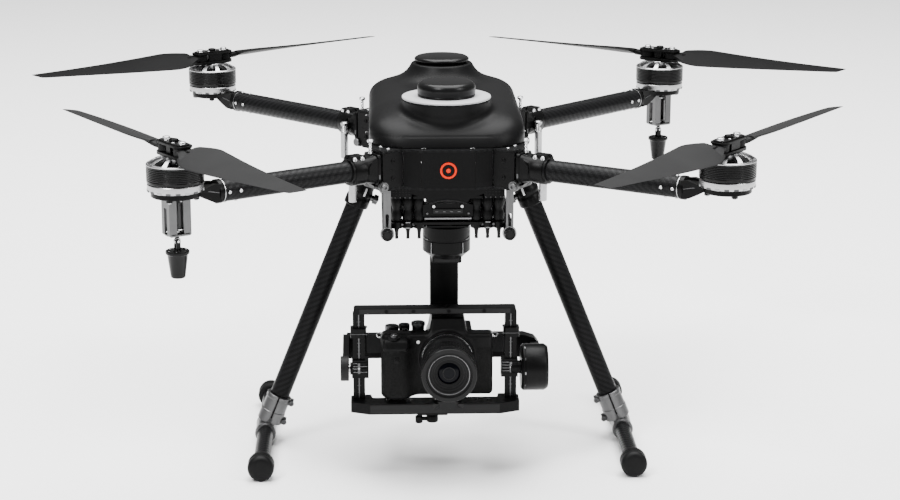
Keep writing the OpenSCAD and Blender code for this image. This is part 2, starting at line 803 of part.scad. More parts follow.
top_plate();
bottom_plate();
front_panel();
canopy();
gnss_ring();
gnss_puck();
rear_antenna();
battery();
flight_controller();
hinge_brackets();
hinge_pins();
rails();
rail_hangers();
isolator_plates();
dampers();
leg_sockets();
leg_tubes();
skid_tees();
skid_feet();
arm_fittings(FL);  // arm_fittings_fl
arm_tube(FL);  // arm_tube_fl
stator(FL);  // stator_fl
motor_bell(FL);  // motor_bell_fl
prop_hub(FL, turn_fl);  // prop_hub_fl
blade(FL, turn_fl, 1);  // blade_fl_a
blade(FL, turn_fl, -1);  // blade_fl_b
arm_fittings(FR);  // arm_fittings_fr
arm_tube(FR);  // arm_tube_fr
stator(FR);  // stator_fr
motor_bell(FR);  // motor_bell_fr
prop_hub(FR, turn_fr);  // prop_hub_fr
blade(FR, turn_fr, 1);  // blade_fr_a
blade(FR, turn_fr, -1);  // blade_fr_b
arm_fittings(RL);  // arm_fittings_rl
arm_tube(RL);  // arm_tube_rl
stator(RL);  // stator_rl
motor_bell(RL);  // motor_bell_rl
prop_hub(RL, turn_rl);  // prop_hub_rl
blade(RL, turn_rl, 1);  // blade_rl_a
blade(RL, turn_rl, -1);  // blade_rl_b
arm_fittings(RR);  // arm_fittings_rr
arm_tube(RR);  // arm_tube_rr
stator(RR);  // stator_rr
motor_bell(RR);  // motor_bell_rr
prop_hub(RR, turn_rr);  // prop_hub_rr
blade(RR, turn_rr, 1);  // blade_rr_a
blade(RR, turn_rr, -1);  // blade_rr_b
antenna_bracket(FL);  // antenna_bracket_fl
antenna(FL);  // antenna_fl
antenna_bracket(RR);  // antenna_bracket_rr
antenna(RR);  // antenna_rr
yaw_arm();
roll_arm();
cage();
camera_body();
lens_barrel();
focus_ring();
mode_dial();
shutter_button();
plate_lever();
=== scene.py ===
import math

import bpy
import numpy as np
from mathutils import Matrix, Vector


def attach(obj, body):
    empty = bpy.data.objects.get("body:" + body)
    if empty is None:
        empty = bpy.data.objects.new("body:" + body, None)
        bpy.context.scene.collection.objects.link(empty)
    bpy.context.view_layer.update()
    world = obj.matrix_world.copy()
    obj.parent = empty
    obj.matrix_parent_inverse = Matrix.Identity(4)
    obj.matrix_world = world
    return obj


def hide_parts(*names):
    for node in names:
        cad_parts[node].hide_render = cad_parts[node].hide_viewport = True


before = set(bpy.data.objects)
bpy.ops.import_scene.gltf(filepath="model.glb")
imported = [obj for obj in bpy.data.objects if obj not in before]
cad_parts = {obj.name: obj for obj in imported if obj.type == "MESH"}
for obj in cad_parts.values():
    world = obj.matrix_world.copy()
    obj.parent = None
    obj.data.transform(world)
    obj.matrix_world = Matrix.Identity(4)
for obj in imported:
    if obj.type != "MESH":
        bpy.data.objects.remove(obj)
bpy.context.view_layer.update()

# Lengths are millimetres in the shared frame until a mesh is made. Stage, lights and camera are in metres.
MM = 0.001
EYE = Matrix.Identity(4)
MIRROR = Matrix.Scale(-1, 4, (1, 0, 0))
SIDES = (EYE, MIRROR)
# An outline's x, y and depth become y, z and x with YZ, and x, z and -y with XZ.
YZ = Matrix(((0, 0, 1, 0), (1, 0, 0, 0), (0, 1, 0, 0), (0, 0, 0, 1)))
XZ = Matrix(((1, 0, 0, 0), (0, 0, -1, 0), (0, 1, 0, 0), (0, 0, 0, 1)))


def shift(x=0.0, y=0.0, z=0.0):
    return Matrix.Translation((x, y, z))


def turn(degrees, axis="Z"):
    return Matrix.Rotation(math.radians(degrees), 4, axis)


# ---------------------------------------------------------------- materials

class Net:
    """A material's node tree, with short calls to add nodes; an input named i0 is the first socket."""

    def __init__(self, name):
        self.mat = bpy.data.materials.new(name)
        self.mat.use_nodes = True
        self.tree = self.mat.node_tree
        self.tree.nodes.clear()
        self.out = self.node("OutputMaterial")
        self.bsdf = self.node("BsdfPrincipled")
        self.tree.links.new(self.bsdf.outputs[0], self.out.inputs["Surface"])

    def node(self, kind, props=None, **inputs):
        made = self.tree.nodes.new("ShaderNode" + kind)
        for key, value in (props or {}).items():
            setattr(made, key, value)
        for key, value in inputs.items():
            self.put(made, key, value)
        return made

    def put(self, made, key, value):
        if key[0] == "i" and key[1:].isdigit():
            socket = made.inputs[int(key[1:])]
        else:
            socket = made.inputs[key.replace("_", " ")]
        if isinstance(value, bpy.types.NodeSocket):
            self.tree.links.new(value, socket)
        else:
            socket.default_value = value

    def surface(self, **inputs):
        for key, value in inputs.items():
            self.put(self.bsdf, key, value)

    def math(self, kind, a, b=0.0, c=0.0):
        return self.node("Math", {"operation": kind}, i0=a, i1=b, i2=c).outputs[0]

    def place(self):
        return self.node("TexCoord").outputs["Object"]

    def scaled(self, vector, x, y, z):
        return self.node("Mapping", Vector=vector, Scale=(x, y, z)).outputs[0]

    def noise(self, scale, detail=3.0, rough=0.55, vector=None):
        made = self.node("TexNoise", Vector=vector or self.place(), Scale=scale, Detail=detail,
                         Roughness=rough)
        return made.outputs["Fac"]

    def ramp(self, fac, low, high, start=0.0, end=1.0):
        made = self.node("MapRange", Value=fac, From_Min=start, From_Max=end, To_Min=low, To_Max=high)
        return made.outputs[0]

    def mix(self, fac, a, b):
        made = self.node("Mix", {"data_type": "RGBA"})
        self.put(made, "i0", fac)
        self.put(made, "i6", a)
        self.put(made, "i7", b)
        return made.outputs[2]

    def bump(self, height, strength, distance):
        made = self.node("Bump", Height=height, Strength=strength, Distance=distance)
        self.put(self.bsdf, "Normal", made.outputs[0])


def grey(v, tint=0.0):
    return (v, v, v * (1 + tint), 1.0)


def grained(name, low, high, rough, spread, scale, bump, metal=0.0, tint=0.02, spec=0.5):
    """A plain moulded, painted or anodised surface with cloudy tone, uneven gloss and a fine grain.

    The tone runs from low to high, the roughness by spread to either side of rough. scale is the grain's
    frequency per metre and bump its depth in metres.
    """
    net = Net(name)
    cloud = net.noise(18.0, 4.0)
    grain = net.noise(scale, 2.0, 0.6)
    both = net.math("MULTIPLY_ADD", grain, 0.5, net.math("MULTIPLY", cloud, 0.5))
    net.surface(Base_Color=net.mix(net.ramp(both, 0.0, 1.0, 0.35, 0.65), grey(low, tint), grey(high, tint)),
                Roughness=net.ramp(both, rough - spread, rough + spread, 0.3, 0.7), Metallic=metal)
    net.bsdf.inputs["Specular IOR Level"].default_value = spec
    net.bump(grain, 0.6, bump)
    return net.mat


def brushed(name, base, rough, along):
    """Machined aluminium: lines that are fine along one axis, 0 to 2, and long across the other two."""
    net = Net(name)
    stretch = [9000.0, 9000.0, 9000.0]
    for axis in range(3):
        if axis != along:
            stretch[axis] = 90.0
    lines = net.noise(1.0, 2.0, 0.5, net.scaled(net.place(), *stretch))
    cloud = net.noise(35.0, 4.0)
    tone = net.ramp(cloud, 0.0, 1.0, 0.3, 0.7)
    net.surface(Base_Color=net.mix(tone, grey(base * 0.8, 0.01), grey(base, 0.01)),
                Roughness=net.ramp(lines, rough - 0.1, rough + 0.12, 0.3, 0.7), Metallic=1.0)
    net.bump(lines, 0.35, 0.00006)
    return net.mat


def carbon(name, tow, low, high, rough, on_mesh):
    """Twill weave: each tow passes over two and under two. on_mesh reads the mesh's own weave map."""
    net = Net(name)
    if on_mesh:
        vector = net.node("UVMap", {"uv_map": "weave"}).outputs[0]
    else:
        vector = net.place()
    parts = net.node("SeparateXYZ", Vector=vector)
    u = net.math("MULTIPLY", parts.outputs[0], 1.0 / tow)
    v = net.math("MULTIPLY", parts.outputs[1], 1.0 / tow)
    step = net.math("ADD", net.math("FLOOR", u), net.math("FLOOR", v))
    over = net.math("LESS_THAN", net.math("FLOORED_MODULO", step, 4.0), 1.5)
    wave_u = net.math("SINE", net.math("MULTIPLY", net.math("FRACT", u), math.pi))
    wave_v = net.math("SINE", net.math("MULTIPLY", net.math("FRACT", v), math.pi))
    height = net.node("Mix", {"data_type": "FLOAT"}, i0=over, i2=wave_u, i3=wave_v).outputs[0]
    cloud = net.noise(25.0, 4.0)
    # the twill is painted into the colour: tows that pass over are lighter and each tow is lighter at its
    # crest, a painted sheen of the weave, plus random cloud
    tone = net.math("MULTIPLY_ADD", over, 0.55, net.math("MULTIPLY", height, 0.3))
    tone = net.math("ADD", tone, net.math("MULTIPLY", cloud, 0.25))
    net.surface(Base_Color=net.mix(tone, grey(low, 0.05), grey(high, 0.05)),
                Roughness=net.ramp(tone, rough + 0.08, rough - 0.08, 0.1, 1.0))
    net.bsdf.inputs["Specular IOR Level"].default_value = 0.06
    net.bump(height, 0.5, 0.00012)
    return net.mat


def leatherette():
    """Pebbled covering on the camera's grip."""
    net = Net("leatherette")
    cells = net.node("TexVoronoi", {"feature": "DISTANCE_TO_EDGE"}, Vector=net.place(), Scale=900.0)
    height = net.ramp(cells.outputs[0], 0.0, 1.0, 0.0, 0.3)
    net.surface(Base_Color=net.mix(height, grey(0.002), grey(0.009)), Roughness=net.ramp(height, 0.8, 0.55))
    net.bsdf.inputs["Specular IOR Level"].default_value = 0.08
    net.bump(height, 0.9, 0.0002)
    return net.mat


def glass():
    """Dark coated lens glass with a faint reflection; its colour is cool face-on and turns a brighter purple
    towards grazing angles, a painted reflection of the coating.
    """
    net = Net("lens_glass")
    # colour set by viewing angle: painted reflection of the lens coating
    ring = net.node("LayerWeight", Blend=0.35).outputs["Facing"]
    net.surface(Base_Color=net.mix(ring, (0.0012, 0.0015, 0.0025, 1), (0.004, 0.002, 0.006, 1)),
                Roughness=0.08)
    net.bsdf.inputs["Specular IOR Level"].default_value = 0.06
    return net.mat


MATS = {
    "tube": carbon("carbon_tube", 0.0021, 0.001, 0.0075, 0.36, True),
    "sheet": carbon("carbon_sheet", 0.0024, 0.0015, 0.006, 0.42, False),
    "hood": grained("soft_touch_plastic", 0.0032, 0.0046, 0.42, 0.04, 1900.0, 0.00005, tint=0.03, spec=0.06),
    "puck": grained("antenna_plastic", 0.003, 0.0045, 0.30, 0.05, 1500.0, 0.00004, spec=0.12),
    "anodised": grained("black_anodised", 0.0015, 0.0035, 0.36, 0.07, 2600.0, 0.00004, metal=0.15, spec=0.08),
    "satin": grained("satin_black", 0.009, 0.013, 0.48, 0.06, 1500.0, 0.00006, spec=0.1),
    "panel": grained("panel_black", 0.0025, 0.004, 0.55, 0.06, 1300.0, 0.0001, spec=0.05),
    "motor": grained("motor_black", 0.002, 0.0045, 0.22, 0.06, 3000.0, 0.00003, metal=0.3, spec=0.2),
    "blade_grey": grained("blade_grey", 0.013, 0.017, 0.52, 0.05, 1100.0, 0.00005, tint=0.01, spec=0.04),
    "blade_black": grained("blade_black", 0.0035, 0.005, 0.50, 0.06, 1100.0, 0.00005, spec=0.03),
    "rubber": grained("black_rubber", 0.002, 0.004, 0.52, 0.08, 1300.0, 0.00012, spec=0.1),
    "moulded": grained("black_moulding", 0.002, 0.004, 0.32, 0.06, 1500.0, 0.00006, spec=0.12),
    "camera": grained("camera_black", 0.0025, 0.0045, 0.44, 0.05, 3500.0, 0.00008, spec=0.08),
    "leather": leatherette(),
    "glass": glass(),
    "silver": brushed("bare_aluminium", 0.40, 0.30, 2),
    "sheet_metal": brushed("folded_aluminium", 0.11, 0.36, 0),
    "plate": grained("pale_plate", 0.34, 0.42, 0.5, 0.06, 1500.0, 0.00004, metal=0.2),
    "steel": brushed("steel_screws", 0.62, 0.26, 2),
    "dark_steel": grained("blued_steel", 0.05, 0.09, 0.32, 0.08, 2200.0, 0.00004, metal=0.9),
    "copper": grained("copper_winding", 0.12, 0.22, 0.34, 0.08, 1800.0, 0.0001, metal=0.9, tint=-0.5),
    "grey": grained("grey_metal", 0.16, 0.20, 0.42, 0.06, 1500.0, 0.00006, metal=0.6),
    "battery": grained("battery_wrap", 0.05, 0.09, 0.4, 0.08, 700.0, 0.0001, tint=1.2),
    "case": grained("electronics_case", 0.04, 0.06, 0.5, 0.06, 1200.0, 0.0001),
}


def orange_paint():
    net = Net("orange_paint")
    cloud = net.noise(120.0, 3.0)
    net.surface(Base_Color=net.mix(cloud, (0.50, 0.014, 0.0, 1), (0.60, 0.020, 0.0005, 1)), Roughness=0.6)
    net.bsdf.inputs["Specular IOR Level"].default_value = 0.1
    net.bump(net.noise(2500.0, 2.0), 0.3, 0.00004)
    return net.mat


def white_paint():
    net = Net("white_paint")
    net.surface(Base_Color=net.mix(net.noise(200.0), grey(0.6), grey(0.8)), Roughness=0.5)
    return net.mat


MATS["orange"] = orange_paint()
MATS["white"] = white_paint()


# ---------------------------------------------------------------- mesh making

def circle(r, count):
    """Points round a circle, anticlockwise from +X."""
    return [(r * math.cos(t), r * math.sin(t)) for t in [2 * math.pi * k / count for k in range(count)]]


def toothed(r, depth, count):
    """Outline of a gear-like wheel; every second of its points lies depth below the rim."""
    rims = [r - depth * (k % 2) for k in range(count)]
    return [(rim * x, rim * y) for rim, (x, y) in zip(rims, circle(1.0, count))]


def knurl(r, depth, z, pitch, count):
    """Profile points of a grooved stretch that starts at height z; every second point lies deeper."""
    return [(r - depth * (k % 2), z + pitch * k) for k in range(count)]


def aim(p, q):
    """Places +Z from p towards q."""
    p, q = Vector(p), Vector(q)
    return Matrix.Translation(p) @ (q - p).to_track_quat("Z", "Y").to_matrix().to_4x4()


class Piece:
    """Gathers closed solids in millimetres and makes one object of them."""

    def __init__(self, name, body, *mats, place=EYE):
        self.name, self.body, self.place = name, body, place
        self.mats = list(mats)
        self.verts, self.faces, self.slots, self.maps = [], [], [], []

    def mat(self, name):
        if name is None:
            return 0
        if name not in self.mats:
            self.mats.append(name)
        return self.mats.index(name)

    def add(self, verts, faces, mat=None, at=EYE, maps=None):
        m = self.place @ at
        base = len(self.verts)
        flip = m.determinant() < 0
        self.verts += [m @ Vector(p) for p in verts]
        for i, face in enumerate(faces):
            row = [base + k for k in face]
            uv = list(maps[i]) if maps else [(0.0, 0.0)] * len(row)
            self.faces.append(row[::-1] if flip else row)
            self.maps.append(uv[::-1] if flip else uv)
            self.slots.append(self.mat(mat))

    def box(self, lo, hi, mat=None, at=EYE):
        (a, b, c), (d, e, f) = lo, hi
        verts = [(x, y, z) for x in (a, d) for y in (b, e) for z in (c, f)]
        faces = [(0, 1, 3, 2), (4, 6, 7, 5), (0, 4, 5, 1), (2, 3, 7, 6), (0, 2, 6, 4), (1, 5, 7, 3)]
        self.add(verts, faces, mat, at)

    def block(self, centre, size, mat=None, at=EYE):
        ends = [(c - s / 2, c + s / 2) for c, s in zip(centre, size)]
        self.box([e[0] for e in ends], [e[1] for e in ends], mat, at)

    def prism(self, outline, z0, z1, mat=None, at=EYE):
        area = sum(a[0] * b[1] - b[0] * a[1] for a, b in zip(outline, outline[1:] + outline[:1]))
        pts = outline if area > 0 else outline[::-1]
        n = len(pts)
        verts = [(x, y, z0) for x, y in pts] + [(x, y, z1) for x, y in pts]
        faces = [tuple(range(n))[::-1], tuple(range(n, 2 * n))]
        faces += [(k, (k + 1) % n, n + (k + 1) % n, n + k) for k in range(n)]
        self.add(verts, faces, mat, at)

    def lathe(self, profile, mat=None, at=EYE, count=48, woven=False):
        """Turns (radius, height) points, from the bottom up on the outside, about +Z."""
        ring = profile[0][0] > 0 or profile[-1][0] > 0
        verts, start = [], []
        for r, z in profile:
            start.append(len(verts))
            verts += [(0, 0, z)] if r == 0 else [(x, y, z) for x, y in circle(r, count)]
        faces, maps = [], []
        run = 0.0
        pairs = list(range(len(profile) - 1)) + ([len(profile) - 1] if ring else [])
        for i in pairs:
            j = (i + 1) % len(profile)
            (r0, z0), (r1, z1) = profile[i], profile[j]
            a, b = start[i], start[j]
            step = math.hypot(r1 - r0, z1 - z0)
            for k in range(count):
                k2 = (k + 1) % count
                u0, u1 = [2 * math.pi * max(r0, r1) * t / count * MM for t in (k, k + 1)]
                v0, v1 = run * MM, (run + step) * MM
                if r0 == 0 and r1 == 0:
                    continue
                if r0 == 0:
                    faces.append((a, b + k2, b + k))
                    maps.append([(u0, v0), (u1, v1), (u0, v1)])
                elif r1 == 0:
                    faces.append((a + k, a + k2, b))
                    maps.append([(u0, v0), (u1, v0), (u0, v1)])
                else:
                    faces.append((a + k, a + k2, b + k2, b + k))
                    maps.append([(u0, v0), (u1, v0), (u1, v1), (u0, v1)])
            run += step
        self.add(verts, faces, mat, at, maps if woven else None)

    def drum(self, r, z0, z1, mat=None, at=EYE, count=48):
        """Plain round solid between two heights."""
        self.lathe([(0, z0), (r, z0), (r, z1), (0, z1)], mat, at, count)

    def tube(self, inner, r, z0, z1, mat=None, at=EYE, count=48, woven=False):
        """Plain ring or tube between two heights."""
        self.lathe([(inner, z0), (r, z0), (r, z1), (inner, z1)], mat, at, count, woven)

    def pair(self, outline, near, far, mat=None):
        """Prisms of an outline in x and z, from near to far on both sides of the plane y = 0."""
        for start, end in ((near, far), (-far, -near)):
            self.prism(outline, start, end, mat, XZ)

    def rod(self, p, q, r, mat=None, at=EYE, count=32, chamfer=0.0):
        length = (Vector(q) - Vector(p)).length
        c = chamfer
        profile = [(0, 0), (r - c, 0)] + ([(r, c), (r, length - c)] if c else [(r, length)]) + \
            ([(r - c, length)] if c else []) + [(0, length)]
        self.lathe(profile, mat, at @ aim(p, q), count)

    def pipe(self, p, q, r, inner, mat=None, at=EYE, count=48, woven=False):
        length = (Vector(q) - Vector(p)).length
        self.tube(inner, r, 0, length, mat, at @ aim(p, q), count, woven)

    def loft(self, rings, mat=None, at=EYE, closed=True):
        n = len(rings[0])
        verts = [p for ring in rings for p in ring]
        faces = [(i * n + k, i * n + (k + 1) % n, (i + 1) * n + (k + 1) % n, (i + 1) * n + k)
                 for i in range(len(rings) - 1) for k in range(n)]
        if closed:
            faces += [tuple(range(n))[::-1], tuple(range((len(rings) - 1) * n, len(rings) * n))]
        self.add(verts, faces, mat, at)

    def ring(self, r, thick, steps, count, mat=None, at=EYE):
        """Round wire of radius thick bent to a ring of radius r about the Y axis."""
        hoop = [[(x * (r + u) / r, v, z * (r + u) / r) for u, v in circle(thick, count)]
                for x, z in circle(r, steps)]
        self.loft(hoop + hoop[:1], mat, at, closed=False)

    def wire(self, points, r, mat=None, at=EYE, count=10):
        """A round wire along a smooth path through the points."""
        pts = [Vector(p) for p in points]
        path = []
        for i in range(len(pts) - 1):
            a, b = pts[max(i - 1, 0)], pts[i]
            c, d = pts[i + 1], pts[min(i + 2, len(pts) - 1)]
            for s in range(8):
                t = s / 8
                path.append(0.5 * (2 * b + (c - a) * t + (2 * a - 5 * b + 4 * c - d) * t * t
                                   + (3 * b - a - 3 * c + d) * t ** 3))
        path.append(pts[-1])
        rings, side = [], None
        for i, p in enumerate(path):
            way = (path[min(i + 1, len(path) - 1)] - path[max(i - 1, 0)]).normalized()
            if side is None:
                side = way.orthogonal().normalized()
            side = (side - way * side.dot(way)).normalized()
            other = way.cross(side)
            rings.append([tuple(p + side * x + other * y) for x, y in circle(r, count)])
        self.loft(rings, mat, at)

    def screw(self, p, way, r=2.2, h=1.6, mat="dark_steel", at=EYE, count=16):
        """Cap-head screw with a hexagonal socket; way points out of the surface."""
        head = [(0, -0.4), (r, -0.4), (r, h * 0.75), (r * 0.85, h), (r * 0.5, h)]
        spot = at @ aim(p, Vector(p) + Vector(way))
        self.lathe(head + [(r * 0.5, h * 0.4), (0, h * 0.4)], mat, spot, count)

    def done(self, replaces=(), bevel=0.4, angle=34):
        mesh = bpy.data.meshes.new(self.name)
        mesh.from_pydata([v * MM for v in self.verts], [], self.faces)
        layer = mesh.uv_layers.new(name="weave")
        layer.data.foreach_set("uv", [c for face in self.maps for uv in face for c in uv])
        for name in self.mats:
            mesh.materials.append(MATS[name])
        mesh.polygons.foreach_set("material_index", self.slots)
        mesh.polygons.foreach_set("use_smooth", [True] * len(self.faces))
        mesh.update()
        mesh.set_sharp_from_angle(angle=math.radians(angle))
        made = bpy.data.objects.new(self.name, mesh)
        bpy.context.scene.collection.objects.link(made)
        if bevel:
            edge = made.modifiers.new("edges", "BEVEL")
            edge.width = bevel * MM
            edge.segments = 2
            edge.limit_method = "ANGLE"
            edge.angle_limit = math.radians(angle)
            edge.harden_normals = True
        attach(made, self.body)
        if replaces:
            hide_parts(*replaces)
        return made


def smooth_join(a, b, k):
    """Union of two distance fields with a fillet about k wide."""
    h = np.maximum(k - np.abs(a - b), 0.0) / k
    return np.minimum(a, b) - h * h * k / 4


def smooth_cut(a, b, k):
    """Intersection of two distance fields with a rounded edge about k wide."""
    return -smooth_join(-a, -b, k)


def skin(field, lo, hi, step):
    """(points, faces) of the surface where field is zero, by surface nets and a few Newton steps."""
    axes = [np.arange(lo[i], hi[i] + step, step) for i in range(3)]
    dist = field(*np.meshgrid(*axes, indexing="ij"))
    full = np.zeros([n - 1 for n in dist.shape], int)
    corners = [(i, j, k) for i in (0, 1) for j in (0, 1) for k in (0, 1)]
    for i, j, k in corners:
        full += dist[i:dist.shape[0] - 1 + i, j:dist.shape[1] - 1 + j, k:dist.shape[2] - 1 + k] < 0
    cells = np.argwhere((full > 0) & (full < 8))
    index = -np.ones(full.shape, int)
    index[tuple(cells.T)] = np.arange(len(cells))
    value = {c: dist[tuple((cells + c).T)] for c in corners}
    total, count = np.zeros((len(cells), 3)), np.zeros(len(cells))
    for a in corners:
        for axis in range(3):
            if a[axis]:
                continue
            b = tuple(1 if i == axis else a[i] for i in range(3))
            crossed = (value[a] < 0) != (value[b] < 0)
            gap = np.where(crossed, value[a] - value[b], 1.0)
            t = np.where(crossed, value[a] / gap, 0.0)
            point = np.array(a, float) + t[:, None] * np.eye(3)[axis]
            total += np.where(crossed[:, None], point, 0.0)
            count += crossed
    pts = np.array([a[0] for a in axes]) + (cells + total / count[:, None]) * step
    small = step * 0.05
    for _ in range(3):
        here = field(*pts.T)
        slope = np.stack([(field(*(pts + small * e).T) - here) / small for e in np.eye(3)], axis=1)
        move = here[:, None] * slope / np.maximum((slope ** 2).sum(1), 0.2)[:, None]
        far = np.linalg.norm(move, axis=1)[:, None]
        pts -= move * np.minimum(1.0, 0.4 * step / np.maximum(far, 1e-9))
    faces = []
    for axis in range(3):
        near = np.take(dist, range(dist.shape[axis] - 1), axis)
        other = np.take(dist, range(1, dist.shape[axis]), axis)
        edge = np.argwhere((near < 0) != (other < 0))
        u, v = (axis + 1) % 3, (axis + 2) % 3
        for side in (u, v):
            edge = edge[(edge[:, side] > 0) & (edge[:, side] < dist.shape[side] - 1)]
        eu, ev = np.eye(3, dtype=int)[u], np.eye(3, dtype=int)[v]
        quad = np.stack([index[tuple((edge - d).T)] for d in (eu + ev, ev, 0 * eu, eu)], axis=1)
        out = near[tuple(edge.T)] < 0
        faces.append(np.where(out[:, None], quad, quad[:, ::-1]))
    return pts, np.concatenate(faces)


# ---------------------------------------------------------------- sizes shared with the frame

SPAN = 300.0
HINGE = {"fl": (-84.0, -160.0), "fr": (84.0, -160.0), "rl": (-95.0, 95.0), "rr": (95.0, 95.0)}
SIGN = {"fl": (-1, -1), "fr": (1, -1), "rl": (-1, 1), "rr": (1, 1)}
PROP_TURN = {"fl": 122.5, "fr": 52.5, "rl": 36.0, "rr": 146.0}
ARM_Z = 383.0
PIN_Z = 363.5
DECK = 404.5
CORNERS = ("fl", "fr", "rl", "rr")


def arm_run(key):
    """Distances in x and y from an arm's hinge to its motor."""
    hx, hy = HINGE[key]
    return SPAN - abs(hx), SPAN - abs(hy)


def arm_length(key):
    return math.hypot(*arm_run(key))


def arm_frame(key):
    """Origin on the ground under the hinge pin, +X out along the arm; the right side is mirrored."""
    sx, sy = SIGN[key]
    hx, hy = HINGE[key]
    dx, dy = arm_run(key)
    lean = math.degrees(math.atan2(dy * sy, dx))
    m = shift(-abs(hx), hy) @ turn(180 - lean)
    return MIRROR @ m if sx > 0 else m


def motor_place(key):
    sx, sy = SIGN[key]
    return shift(SPAN * sx, SPAN * sy)


# ---------------------------------------------------------------- chassis

def paint(node, name):
    """Gives a kept CAD node its material."""
    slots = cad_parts[node].data.materials
    slots.clear()
    slots.append(MATS[name])


for kept, look in (("top_plate", "sheet"), ("bottom_plate", "sheet"), ("battery", "battery"),
                   ("flight_controller", "case")):
    paint(kept, look)
    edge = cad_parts[kept].modifiers.new("edges", "BEVEL")
    edge.width = 0.0003
    edge.limit_method = "ANGLE"


def front_panel():
    p = Piece("front_panel_skin", "airframe", "panel")
    z0, z1 = 360.6, 401.9
    for m in SIDES:
        p.prism([(31.2, -168), (51, -158), (50, -155.6), (31.2, -165.6)], z0, z1, at=m)
        # lighter wire along the panel's corner beside the hinge block: a painted highlight of the chassis
        # edge
        p.wire([(50.6, -156.5, 368), (50.8, -157, 392), (50.2, -157.2, 398.2), (47.2, -158.6, 400.6),
                (43.5, -160.4, 401)],
               0.45, "satin", m, 8)
    p.box((-31, -168, z0), (31, -165.6, z1))
    p.done(["front_panel"], 0.5)
    mark = Piece("front_mark", "airframe", "orange")
    ring = [(7.2, 0), (9.6, 0), (9.6, 0.25), (7.2, 0.25)]
    face = aim((0, -168, 381), (0, -169, 381))
    mark.lathe(ring, at=face, count=64)
    mark.drum(2.6, 0, 0.25, at=face, count=40)
    mark.done(bevel=0)


BOSS_Y, BOSS_TOP, BOSS_R = -95.0, 452.5, 52.0
TOWER_Y, TOWER_TOP, TOWER_R = 84.0, 465.0, 38.0
HOOD_X, HOOD_Y, HOOD_MID, HOOD_CORNER = 90.8, 150.3, -7.5, 48.0      # half sizes, middle in y, corner radius
SHOULDER = 419.0


def hood_field(x, y, z):
    """Distance-like field of the hood: shoulders, sloping nose, bowl under the ring, and rear tower."""
    qx = np.abs(x) - HOOD_X + HOOD_CORNER
    qy = np.abs(y - HOOD_MID) - HOOD_Y + HOOD_CORNER
    plan = np.hypot(np.maximum(qx, 0), np.maximum(qy, 0)) + np.minimum(np.maximum(qx, qy), 0) - HOOD_CORNER
    inset = np.clip(1 + plan / 45, 0, None)
    rise = np.maximum((z - SHOULDER) / 30.0, 0)
    shell = 38 * (np.hypot(inset, rise) - 1)
    shell = np.where(z < SHOULDER, np.maximum(plan, shell), shell)
    # the nose slopes up from its front edge over 112 mm
    along = np.clip((y + 158) / 112, 0, 1)
    nose = (z - SHOULDER - 2 - 28.5 * np.sin(along * math.pi / 2)) * 0.9
    shell = smooth_cut(shell, nose, 22)
    top = np.hypot(x, y - BOSS_Y)
    shell = np.maximum(shell, np.minimum(z - BOSS_TOP, BOSS_R + 0.6 - top))
    bowl = top - BOSS_R * np.sqrt(np.clip(1 - ((BOSS_TOP - z) / 50) ** 2, 0.02, 1))
    bowl = np.maximum(bowl * 0.85, z - BOSS_TOP)
    hood = smooth_join(shell, np.maximum(bowl, 408 - z), 11)
    far = np.hypot(x, y - TOWER_Y)
    tower = np.maximum((far - TOWER_R + (z - TOWER_TOP + 2) * 0.5) * 0.9, z - TOWER_TOP)
    tower = smooth_cut(tower, z - TOWER_TOP, 3)
    return smooth_join(hood, tower, 20)


def canopy():
    def shell(x, y, z):
        solid = hood_field(x, y, z)
        hollow = np.maximum(solid + 6, z - 434)
        body = np.maximum(solid, DECK - z)
        seam = np.hypot(solid, z - 417.2) - 0.55
        return np.maximum(np.maximum(body, -hollow), -seam)
    pts, faces = skin(shell, (-93, -161, 402), (93, 146, TOWER_TOP + 3), 1.75)
    p = Piece("hood_shell", "airframe", "hood")
    p.add(pts.tolist(), faces.tolist())
    p.done(["canopy"], 0, 50)


def hood_clips():
    trim = Piece("hood_clips", "airframe", "steel")
    for m in SIDES:
        for x, y in ((28, -159.2), (70, -139.5), (92.5, -60), (92.5, 45)):
            trim.box((x - 2.6, y - 1.6, DECK), (x + 2.6, y + 1.6, DECK + 1.2), at=m)
            trim.screw((x, y - 1.6, DECK + 0.4), (0, 0, 1), 1.3, 1.4, at=m)
    trim.done(bevel=0.25)


def antennas_on_top():
    p = Piece("nose_ring", "airframe", "plate", place=shift(0, BOSS_Y, BOSS_TOP))
    p.lathe([(33, 0), (51.4, 0), (52, 0.6), (52, 1.9), (51.4, 2.5), (33, 2.5)], count=128)
    p.done(["gnss_ring"], 0)
    p = Piece("nose_puck", "airframe", "puck", place=shift(0, BOSS_Y, BOSS_TOP + 2.5))
    profile = [(0, 0), (33.4, 0), (33.8, 0.5), (33.8, 2.4), (33.4, 2.7), (33.8, 3.0), (34, 9.5)]
    arc = np.linspace(0.05, math.pi / 2, 9)
    profile += [(26.5 + 7.5 * math.cos(t), 9.8 + 7.5 * math.sin(t)) for t in arc]
    p.lathe(profile + [(18, 17.75), (0, 18)], count=96)
    p.done(["gnss_puck"], 0, 60)
    p = Piece("tail_disc", "airframe", "puck", place=shift(0, TOWER_Y, TOWER_TOP))
    disc = [(0, 0), (31.5, 0), (32, 1.5), (33.4, 2.2), (34, 3.4), (33.6, 5.0), (31, 6.8), (24, 7.8)]
    p.lathe(disc + [(12, 8.65), (0, 8.95)], count=96)
    p.done(["rear_antenna"], 0, 60)


# ---------------------------------------------------------------- arms

